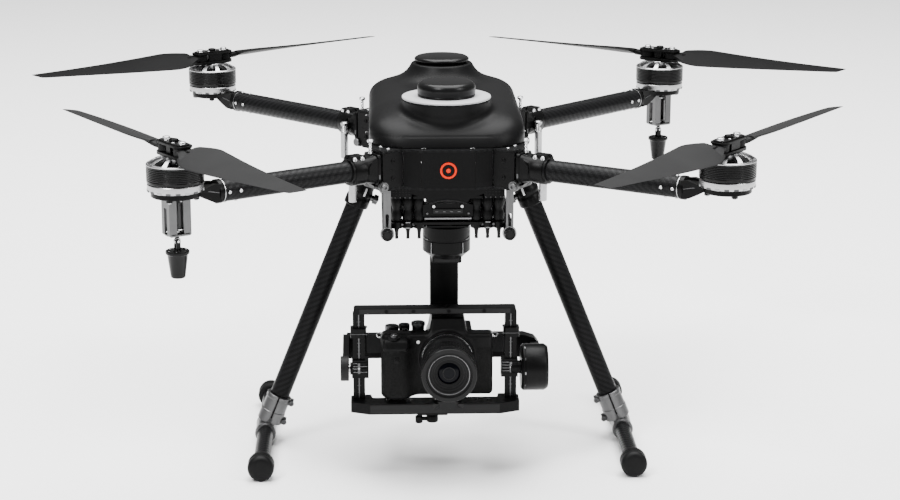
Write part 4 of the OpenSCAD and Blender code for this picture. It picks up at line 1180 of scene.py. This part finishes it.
def yaw_arm():
    p = Piece("yaw_arm_skin", "pan_arm", "anodised")
    pan = shift(0, PAN_Y)
    p.lathe([(0, 262), (19, 262), (28.3, 270), (28.3, 283.6), (27.8, 284), (27.8, 285), (28.3, 285.4),
             (28.3, 300.6), (27.4, 301.9), (0, 301.9)], at=pan, count=96)
    p.rod((0, PAN_Y, 300), (0, PAN_Y, 321), 4.95, "steel")
    for s in (-1, 1):
        p.wire([(s * 27.0, PAN_Y - 10.2, 287.5), (s * 25, PAN_Y - 14.2, 286.2), (s * 22, PAN_Y - 18.4, 286)],
               0.55, "grey", count=8)
        p.wire([(s * 18.6, PAN_Y - 22.8, 283), (s * 18.6, PAN_Y - 22.8, 272), (s * 18.0, PAN_Y - 20.5, 266)],
               0.5, "grey", count=8)
    # thin lighter plate on the front end of the boom: a painted highlight band for the soft-lit bend
    p.box((-14.6, -108.3, 257.4), (14.6, -107.8, 266.4), "satin")
    # boom: one bar that bends from level to upright behind the camera
    w, t = 17.5, 7.0
    path = [(-108, 263, 0), (-95, 263, 0), (-24, 263, 0)]
    path += [(-24 + 23 * math.sin(a), 240 + 23 * math.cos(a), math.degrees(a))
             for a in np.linspace(0.15, math.pi / 2, 9)]
    path += [(-1, 200, 90), (-1, 126.2, 90)]
    rings = []
    for y, z, a in path:
        c, s = math.cos(math.radians(a)), math.sin(math.radians(a))
        rings.append([(u, y + v * s, z + v * c) for u, v in rounded(2 * w, 2 * t, 2.2, 3)])
    p.loft(rings)
    # stiffening rib, cable cover and screws on the upright
    p.prism([(y, z) for y, z in rounded(23, 84, 3)], 0, 1.0, "satin", shift(0, 6.0, 196) @ turn(-90, "X"))
    for z in (158, 234):
        for s in (-1, 1):
            p.screw((s * 8.6, 7.0, z), (0, 1, 0), 1.7, 0.9)
            p.screw((s * 8.6, -8.0, z + 10), (0, -1, 0), 1.4, 0.3)
    roll = aim((0, -20, ROLL_Z), (0, 6, ROLL_Z))
    p.lathe([(5.1, 0), (22.2, 0), (23, 0.8), (23, 9.6), (22.4, 10), (22.4, 11), (23, 11.4), (23, 24.4),
             (20.6, 26), (5.1, 26)], at=roll, count=80)
    p.drum(5.2, 24, 26.0, at=roll, count=32)
    p.done(["yaw_arm"], 0.4)


def roll_arm():
    p = Piece("roll_arm_skin", "roll_bar", "anodised")
    # bar behind the camera, with sloping shoulders
    bar = [(-120, 120), (110, 120), (114, 124), (114, 138), (109, 144), (96, 148), (-106, 148), (-120, 148),
           (-124, 136), (-124, 126)]
    p.prism(bar, 28, 46, at=XZ)
    p.prism([(-96, 127), (-30, 127), (-26, 131), (-26, 146), (-30, 150), (-96, 150)], 46, 46.5, "satin", XZ)
    p.prism([(30, 127), (84, 127), (84, 150), (30, 150), (26, 146), (26, 131)], 46, 46.5, "satin", XZ)
    for x in (-108, -60, 60, 100):
        p.screw((x, -28, 138), (0, 1, 0), 2.0, 1.0)
    p.lathe([(0, 0), (20, 0), (20, 6.6), (19.4, 7.4), (0, 7.4)], at=aim((0, -28.2, ROLL_Z), (0, -10, ROLL_Z)),
            count=72)
    p.rod((0, -21, ROLL_Z), (0, -6.2, ROLL_Z), 4.95, "steel")
    # side arms that run forward to the tilt axis
    p.prism([(-42, 122), (-42, 150), (-60, 150), (-92, 141), (-112, 138), (-112, 120), (-96, 122)], -124.6,
            -117.2, at=YZ)
    p.prism([(-42, 122), (-42, 140), (-60, 140), (-96, 140), (-100, 122)], 105, 114.4, at=YZ)
    disc = aim((-127, TILT_Y, TILT_Z), (0, TILT_Y, TILT_Z))
    p.lathe([(0, 0), (14.2, 0), (15, 0.8), (15, 9.2), (14.2, 10), (5.1, 10), (5.1, 5), (0, 5)], "satin", disc,
            64)
    for k in range(3):
        spot = (-127, TILT_Y + 9 * math.cos(k * 2.09), TILT_Z + 9 * math.sin(k * 2.09))
        p.screw(spot, (-1, 0, 0), 1.4, 0.02)
    motor = aim((88, TILT_Y, TILT_Z), (120, TILT_Y, TILT_Z))
    p.lathe([(8.1, 0), (25.4, 0), (28, 2.4), (28, 3.6), (27.3, 4.0), (27.3, 4.8), (28, 5.2), (28, 27.4),
             (25.4, 31.4), (24.6, 32), (0, 32), (0, 12), (8.1, 12)], at=motor, count=96)
    for k in range(10):
        p.block((27.6, 0, 4.4), (0.7, 3.0, 1.5), "grey" if k % 2 else "dark_steel", motor @ turn(k * 36))
    p.done(["roll_arm"], 0.5)


CAGE_L, CAGE_R, ROD_Y = -105.0, 76.0, -112.0


def cage_upright(p, x):
    # twin rods joined by a grooved web
    for dx in (-4.4, 4.4):
        p.rod((x + dx, ROD_Y, 90), (x + dx, ROD_Y, 198), 2.6)
    p.box((x - 7, ROD_Y - 4.2, 90), (x - 2.2, ROD_Y + 4.2, 198))
    p.box((x + 2.2, ROD_Y - 4.2, 90), (x + 7, ROD_Y + 4.2, 198))
    p.box((x - 2.4, ROD_Y - 2.6, 90), (x + 2.4, ROD_Y + 2.6, 198))
    # the web's groove drawn as a raised steel stripe: the groove is real, its lighter tone a painted
    # highlight
    p.box((x - 0.7, ROD_Y - 3.0, 91), (x + 0.7, ROD_Y - 2.5, 197), "dark_steel")
    for k in range(22):
        z = 94 + k * 4.4
        w = 2.6 if k % 3 == 0 else 1.3
        p.box((x - w, ROD_Y - 3.1, z), (x + w, ROD_Y - 2.5, z + 0.4), "dark_steel")
    # upper clamp and its knurled wheel
    s = -1 if x < 0 else 1
    p.prism([(u + x + 0.5 * s, v + ROD_Y) for u, v in rounded(19, 18, 3)], 168, 179)
    p.lathe([(0, 0), (5.2, 0)] + knurl(5.4, 0.4, 0.4, 0.5, 9) + [(5.0, 4.8), (0, 4.8)],
            "dark_steel", aim((x + 4 * s, ROD_Y + 8.8, 173.5), (x + 4 * s, ROD_Y + 14, 173.5)), 28)
    p.box((x - 10, ROD_Y - 9.3, 172.6), (x + 10, ROD_Y - 8.6, 173.1), "dark_steel")
    p.drum(3, 178.8, 180.4, "dark_steel", shift(x - 7.2 * s, ROD_Y, 0), 20)
    # lower clamp with its ribbed wheel
    lo, hi = (x - 8.5, x + 11.5) if s < 0 else (x - 11.5, x + 8.5)
    p.box((lo, ROD_Y - 7.5, 118), (hi, ROD_Y + 9, 140))
    for k, z in enumerate((124.0, 127.6, 131.2, 134.8)):
        p.box((lo + 0.5, ROD_Y - 9, z), (hi - 0.5, ROD_Y - 7, z + 2.4))
        p.box((lo + 1.5, ROD_Y - 9.12, z + 1.7), (x - 2 if k % 2 else hi - 1.5, ROD_Y - 8.9, z + 2.1), "grey")
    p.box((x - 1.4, ROD_Y - 9.3, 124.0), (x + 1.4, ROD_Y - 8.8, 137.0), "dark_steel")
    p.screw((x, ROD_Y - 9.2, 130.5), (0, -1, 0), 1.0, 0.2, "steel")


def cage_top(p):
    # top bar with four round holes, drawn as flat dark discs on its front and top: painted shade in the holes
    p.prism([(x - 14.5, z + 200.5) for x, z in rounded(193, 7.6, 2.6)], -ROD_Y - 8, -ROD_Y + 8, at=XZ)
    p.prism([(-104, 197.6), (75, 197.6), (75, 203.2), (-104, 203.2)], -ROD_Y + 7.8, -ROD_Y + 8.3, "satin", XZ)
    for x in (-72, -40, 2, 44):
        face = aim((x, ROD_Y - 8.25, 200.4), (x, ROD_Y - 10, 200.4))
        p.tube(1.8, 2.3, 0, 0.3, "panel", face, 20)
        p.drum(1.9, 0, 0.35, "panel", face, 20)
        p.drum(1.6, 0, 0.3, "motor", shift(x, ROD_Y, 204.1), 20)


def cage_plate(p):
    # base plate with cut corners
    plan = [(-115, -128), (-93, -138), (64, -138), (86, -128), (86, -104), (80, -99), (62, -99), (60, -112),
            (19, -112), (16, -84), (-15, -84), (-18, -112), (-89, -112), (-91, -99), (-109, -99),
            (-115, -104)]
    p.prism(plan, 78.2, 91)
    p.box((-92, -138.3, 79.6), (62, -137.8, 89.8), "satin")
    for x in (-70, -44, 34, 50):
        p.drum(3.2, 0, 0.3, "motor", shift(x, -121, 90.9), 24)
    p.prism([(-13, 89), (-15, 92), (-13, 97), (14, 97), (16, 92), (14, 89)], 86, 130, at=XZ)
    p.prism([(-9, 88.6), (-14, 84.5), (15, 84.5), (10, 88.6), (13, 93.6), (-12, 93.6)], 137, 139.2, "satin",
            XZ)
    p.prism([(-18, 85), (-10, 91), (-18, 91)], 136, 138.6, "motor", XZ)
    p.prism([(19, 85), (19, 91), (11, 91)], 136, 138.6, "motor", XZ)
    p.box((-36, -134, 75.4), (0, -112, 78.4))


def cage():
    p = Piece("cage_skin", "camera_cradle", "anodised")
    for x in (CAGE_L, CAGE_R):
        cage_upright(p, x)
    cage_top(p)
    cage_plate(p)
    p.rod((-121, TILT_Y, TILT_Z), (CAGE_L, TILT_Y, TILT_Z), 4.95, "steel")
    p.tube(5, 7.4, 0, 2.6, None, aim((-115.6, TILT_Y, TILT_Z), (0, TILT_Y, TILT_Z)), 32)
    p.rod((CAGE_R, TILT_Y, TILT_Z), (98, TILT_Y, TILT_Z), 7.95)
    p.done(["cage"], 0.4)


LENS_Z, DECK_Z, FRONT_Y, BACK_Y = 144.0, 173.0, -124.0, -66.0
GRIP_X, FAR_X = -77.3, 54.3          # the camera's side faces, at the grip and at the far end


def rounded_box_field(x, y, z, lo, hi, r):
    """Distance to a box from lo to hi with edges rounded by r."""
    c = [(a + b) / 2 for a, b in zip(lo, hi)]
    h = [(b - a) / 2 - r for a, b in zip(lo, hi)]
    q = [np.abs(v - m) - s for v, m, s in zip((x, y, z), c, h)]
    out = np.sqrt(sum(np.maximum(v, 0) ** 2 for v in q))
    return out + np.minimum(np.maximum(np.maximum(q[0], q[1]), q[2]), 0) - r


def camera_field(x, y, z):
    body = rounded_box_field(x, y, z, (GRIP_X, FRONT_Y, 97.2), (FAR_X, BACK_Y, DECK_Z), 5)
    taper = np.clip((z - 120) / 50, 0, 1)
    body = smooth_cut(body, (z - DECK_Z + 0.42 * (y + 104)) * 0.9, 2)
    lean = np.clip((150 - z) / 50, 0, 1) * 5
    grip = rounded_box_field(x - 0.5 * lean, y - 3 * taper, z, (GRIP_X, FRONT_Y - 13.6, 94.2),
                             (-47.6, FRONT_Y + 20, 164), 9)
    all_ = smooth_join(body, np.maximum(grip, GRIP_X - x), 14)
    shelf = rounded_box_field(x, y - (z - 168) * 0.35, z, (-76.5, FRONT_Y - 11, 156),
                              (-46, FRONT_Y + 20, 169.4), 4)
    all_ = smooth_join(all_, shelf, 4)
    wide = 22.8 - (z - 172) * 0.19
    hump = np.maximum(np.abs(x - 1) - wide, np.maximum(z - 190.6, 165 - z)) * 0.95
    slope = FRONT_Y + 1 + np.clip(z - 172, 0, 30) * 0.42
    hump = smooth_cut(hump, np.maximum(slope - y, y - BACK_Y + 4), 3)
    all_ = smooth_join(all_, hump, 5)
    deck = rounded_box_field(x, y, z, (-15, FRONT_Y + 12, 168), (30, BACK_Y - 3, 174.6), 2)
    all_ = smooth_join(all_, deck, 2)
    ring = np.maximum(np.hypot(x, z - LENS_Z) - 32.2, np.maximum(FRONT_Y - 4.5 - y, y - FRONT_Y - 10))
    all_ = smooth_join(all_, ring, 3)
    eyecup = rounded_box_field(x, y, z, (-15, BACK_Y - 14, 166), (17, BACK_Y - 1, 189), 3)
    return smooth_join(all_, eyecup, 3)


def camera_body():
    p = Piece("camera_shell", "camera_cradle", "camera", "leather")
    pts, faces = skin(camera_field, (-79, -140, 92), (56, -58, 193), 1.15)
    p.add(pts.tolist(), faces.tolist())
    middle = pts[faces].mean(axis=1)
    x, y, z = middle.T
    band = (z > 99.5) & (z < 157.5) & (np.hypot(x, z - LENS_Z) > 35)
    wrap = band & ((y < FRONT_Y + 30) | (y > BACK_Y - 8) & (x < -40))
    p.slots = [1 if w else 0 for w in wrap]
    # hot shoe, strap lugs, lamp, buttons, rear screen and finder
    p.box((-9, -98, 190.2), (11, -79, 190.95), "dark_steel")
    for s in (-1, 1):
        p.box((1 + s * 9 - 1, -98, 190.4), (1 + s * 9 + 1, -79, 191.0), "steel")
    for s, x0 in ((-1, GRIP_X - 0.1), (1, FAR_X + 0.1)):
        p.ring(3.0, 0.8, 24, 8, "steel", shift(x0 + s * 3.0, -104, 167) @ (EYE if s > 0 else MIRROR))
        p.rod((x0 - s, -104, 167), (x0 + s * 1.2, -104, 167), 3.2, "steel")
        p.screw((x0, -104, 158.6), (s, 0, 0), 1.4, 0.6, "steel")
    p.lathe([(0, 0), (2.0, 0), (2.0, 0.9), (1.4, 1.4), (0, 1.5)], "white",
            aim((-34.5, FRONT_Y, 163.5), (-34.5, -140, 163.5)), 24)
    p.lathe([(0, 0), (3.2, 0), (3.2, 1.2), (2.6, 1.6), (0, 1.6)], None,
            aim((-60, FRONT_Y - 12.6, 144), (-60, -150, 144)), 24)
    p.box((-42, BACK_Y - 1, 104), (32, BACK_Y + 1.6, 160), "motor")
    p.box((-38.5, BACK_Y + 1.4, 108), (28.5, BACK_Y + 1.9, 156), "glass")
    p.box((-9, BACK_Y - 1.8, 176), (11, BACK_Y - 0.8, 186.5), "glass")
    dial = [(0, 0), (8.6, 0)] + knurl(8.8, 0.45, 0.5, 0.4, 8) + [(8.0, 4.2), (0, 4.2)]
    flat = Matrix.Scale(0.55, 4, (0, 0, 1))
    p.lathe(dial, "dark_steel", aim((-58, BACK_Y - 0.6, 138), (-58, 0, 138)) @ flat, 40)
    for z in (118, 134):
        for x in (38, 46):
            p.lathe([(0, 0), (2.7, 0), (2.7, 1.2), (2.1, 1.5), (0, 1.5)], "moulded",
                    aim((x, BACK_Y - 0.2, z), (x, 0, z)), 20)
    # front and rear command dials and the two custom buttons on the deck
    for x0, y0, z0, r, h in ((-65.5, -92, 169.4, 8.2, 6.0), (-50.5, -86, 169.4, 6.8, 5.8)):
        p.prism([(a + x0, b + y0) for a, b in toothed(r, 0.35, 48)], z0, z0 + h, "dark_steel")
        p.prism([(a * 0.93 + x0, b * 0.93 + y0) for a, b in circle(r, 40)], 150, z0 + 0.4)
        p.lathe([(0, 0), (r - 1.4, 0), (r - 2.0, 0.5), (0, 0.6)], "moulded", shift(x0, y0, z0 + h), 32)
    p.prism([(a - 34, b - 95) for a, b in circle(7.2, 40)], 150, 171.1)
    for x0, y0 in ((-50, -104), (-41, -112)):
        p.lathe([(0, -5), (3.0, -5), (3.0, 1.4), (2.3, 1.8), (0, 1.8)], "moulded", shift(x0, y0, 172.8), 24)
    p.lathe([(4.6, 0), (7.6, 0), (7.2, 2.4), (4.6, 3.0)], "moulded", shift(-63, -128, 168.6), 40)
    p.tube(26.6, 30.4, 0, 0.8, "steel", aim((0, FRONT_Y - 4.4, LENS_Z), (0, -150, LENS_Z)), 72)
    p.done(["camera_body"], 0, 40)


def mode_dial():
    p = Piece("mode_dial_skin", "mode_dial", "dark_steel", place=shift(-34, -95, 171.3))
    p.drum(7.4, 0, 5)
    p.prism(toothed(8.5, 0.3, 72), 5, 8.7)
    p.lathe([(0, 8.7), (7.6, 8.7), (7.3, 9.3), (5.6, 9.5), (0, 9.5)], "moulded", count=48)
    for k in range(9):
        p.box((5.6, -0.4, 9.3), (6.9, 0.4, 9.5), "white", turn(k * 40))
    p.done(["mode_dial"], 0.08)


def shutter_button():
    p = Piece("shutter_button_skin", "shutter_button", "dark_steel", place=shift(-63, -128, 167))
    p.lathe([(0, 0), (4.45, 0), (4.45, 6.4), (4.2, 7.2), (3.4, 7.9), (2.0, 8.4), (0, 8.6)], count=40)
    p.done(["shutter_button"], 0, 60)


def lens():
    front = aim((0, -196, LENS_Z), (0, 0, LENS_Z))
    p = Piece("lens_skin", "camera_cradle", "camera")
    p.lathe([(27.4, 0), (31.6, 0), (32.3, 0.7), (32.3, 8.6), (31.6, 9.4), (28, 9.5), (28, 5), (27.4, 4.2)],
            "puck", front, 112)
    p.tube(26.8, 26.95, 9.3, 34, None, front, 96)
    p.lathe([(22, 31.4), (30.2, 31.4), (31, 32.2), (31, 38)] + knurl(30.6, -0.4, 38.6, 0.7, 19)
            + [(31, 52.4), (31, 54.4), (30.2, 55.4), (29.5, 56), (29.5, 66.8), (22, 67)], None, front, 112)
    for k in range(12):
        p.box((30.9, -0.16, 33.4), (31.1, 0.16, 36.2 if k % 3 else 37.2), "white", front @ turn(k * 9 - 140))
    # stepped bevel rings and glass elements
    p.lathe([(24.8, 2.2), (27.4, 1.4), (27.4, 12), (24.8, 12)], None, front, 112)
    p.tube(24.0, 24.8, 1.9, 12, "satin", front, 112)
    p.lathe([(23.5, 2.6), (24.0, 2.4), (24.0, 12), (23.5, 12)], "grey", front, 112)
    for k in range(8):
        r = 23.2 - 0.85 * k
        p.lathe([(r - 0.95, 3.2 + 0.75 * k), (r, 3.0 + 0.75 * k), (r, 14), (r - 0.95, 14)],
                "rubber" if k % 3 else "satin", front, 96)
    p.lathe([(13.2, 8.6), (16.6, 8.4), (16.6, 14), (13.2, 14)], "camera", front, 80)
    arc = np.linspace(1.4, 0.12, 9)
    dome = [(13.6, 12.2)] + [(13.6 * math.sin(t), 12.2 - 3.4 * math.cos(t)) for t in arc]
    p.lathe([(0, 14.5), (13.6, 14.5)] + dome + [(0, 8.8)], "glass", front, 72)
    p.lathe([(6.6, 8.7), (7.4, 8.6), (7.4, 9.8), (6.6, 9.8)], "satin", front, 64)
    p.done(["lens_barrel"], 0, 32)


def focus_ring():
    p = Piece("focus_ring_skin", "focus_ring", "rubber", place=aim((0, -186, LENS_Z), (0, 0, LENS_Z)))
    p.lathe([(27.1, 0), (32.2, 0), (32.5, 0.4), (32.5, 20.6), (32.2, 21), (27.1, 21)], count=96)
    for k in range(60):
        for z0 in (1.6, 11.2):
            p.block((32.5, 0, z0 + 4.2), (0.9, 2.2, 8.0), None, turn(k * 6))
    p.done(["focus_ring"], 0.12)


def plate_lever():
    p = Piece("plate_lever_skin", "plate_lever", "dark_steel", place=shift(-18, -128))
    p.lathe([(0, 66), (6.2, 66), (7, 66.8), (7, 73.6), (6.4, 74.6), (0, 74.6)], "anodised", count=40)
    p.rod((0, 0, 66), (0, 0, 87.5), 2.95, "steel")
    rings = []
    for x, w, zl, zh in ((-2, 3.4, 67.4, 71.8), (-10, 2.8, 67.6, 71.6), (-15, 2.9, 67.4, 71.8),
                         (-19.4, 3.4, 67.0, 72.0), (-20.4, 2.8, 67.6, 71.4)):
        rings.append([(x, y * w * 2, (zl + zh) / 2 + z * (zh - zl)) for y, z in rounded(1, 1, 0.3, 3)])
    p.loft(rings, "anodised")
    p.lathe([(0, 64.5), (3.6, 64.5), (4.4, 65.4), (4.4, 72.4), (3.6, 73.4), (0, 73.4)], "anodised",
            shift(-16, 0, 0), 32)
    p.done(["plate_lever"], 0.2)


# ---------------------------------------------------------------- build

front_panel()
canopy()
hood_clips()
antennas_on_top()
hinge_brackets()
for corner in CORNERS:
    arm_fittings(corner)
    arm_tube(corner)
    stator(corner)
    motor_bell(corner)
    prop_hub(corner)
    blade(corner, "a")
    blade(corner, "b")
for corner in ("fl", "rr"):
    antenna_bracket(corner)
    antenna(corner)
rails()
rail_hangers()
isolator()
dampers()
leg_sockets()
leg_tubes()
skid_tees()
skid_feet()
yaw_arm()
roll_arm()
cage()
camera_body()
mode_dial()
shutter_button()
lens()
focus_ring()
plate_lever()


# ---------------------------------------------------------------- stage, light and camera

SKY_STRENGTH, FLOOR_HALF = 0.24, 14.0


def stage():
    net = Net("floor_paint")
    net.surface(Base_Color=net.mix(net.noise(1.5), grey(0.86), grey(0.89)), Roughness=0.9)
    mesh = bpy.data.meshes.new("floor")
    corners = [(x * FLOOR_HALF, y * FLOOR_HALF, 0) for x, y in ((-1, -1), (1, -1), (1, 1), (-1, 1))]
    mesh.from_pydata(corners, [], [(0, 1, 2, 3)])
    mesh.materials.append(net.mat)
    floor = bpy.data.objects.new("floor", mesh)
    bpy.context.scene.collection.objects.link(floor)
    world = bpy.data.worlds.new("studio")
    bpy.context.scene.world = world
    world.use_nodes = True
    sky = world.node_tree.nodes["Background"]
    sky.inputs["Color"].default_value = (1.0, 1.0, 1.0, 1.0)
    sky.inputs["Strength"].default_value = SKY_STRENGTH


def soft_light(name, at, look, wide, high, watts):
    """Area light at a place, turned towards the point look; its size is in metres."""
    lamp = bpy.data.lights.new(name, "AREA")
    lamp.shape = "RECTANGLE"
    lamp.size, lamp.size_y, lamp.energy = wide, high, watts
    made = bpy.data.objects.new(name, lamp)
    bpy.context.scene.collection.objects.link(made)
    made.matrix_world = aim(look, at)
    made.location = at


VIEW_FROM = Vector((-0.0852, -2.693, 0.9351))      # metres, from the fit to the photograph
VIEW_ALONG = Vector((0.03333, 0.96810, -0.24833))
FOCAL, SENSOR = 90.34, 36.0


def camera():
    data = bpy.data.cameras.new("camera")
    data.lens, data.sensor_width = FOCAL, SENSOR
    data.clip_end = 60.0
    made = bpy.data.objects.new("camera", data)
    bpy.context.scene.collection.objects.link(made)
    made.location = VIEW_FROM
    made.rotation_euler = VIEW_ALONG.to_track_quat("-Z", "Y").to_euler()
    bpy.context.scene.camera = made


stage()
soft_light("key", (-1.8, -2.0, 3.2), (0, 0, 0.3), 1.0, 1.0, 150)
soft_light("fill", (2.6, -1.6, 2.4), (0, 0, 0.3), 0.7, 1.4, 80)
soft_light("top", (0, 0.6, 4.2), (0, 0.6, 0.0), 4.4, 4.4, 900)
camera()
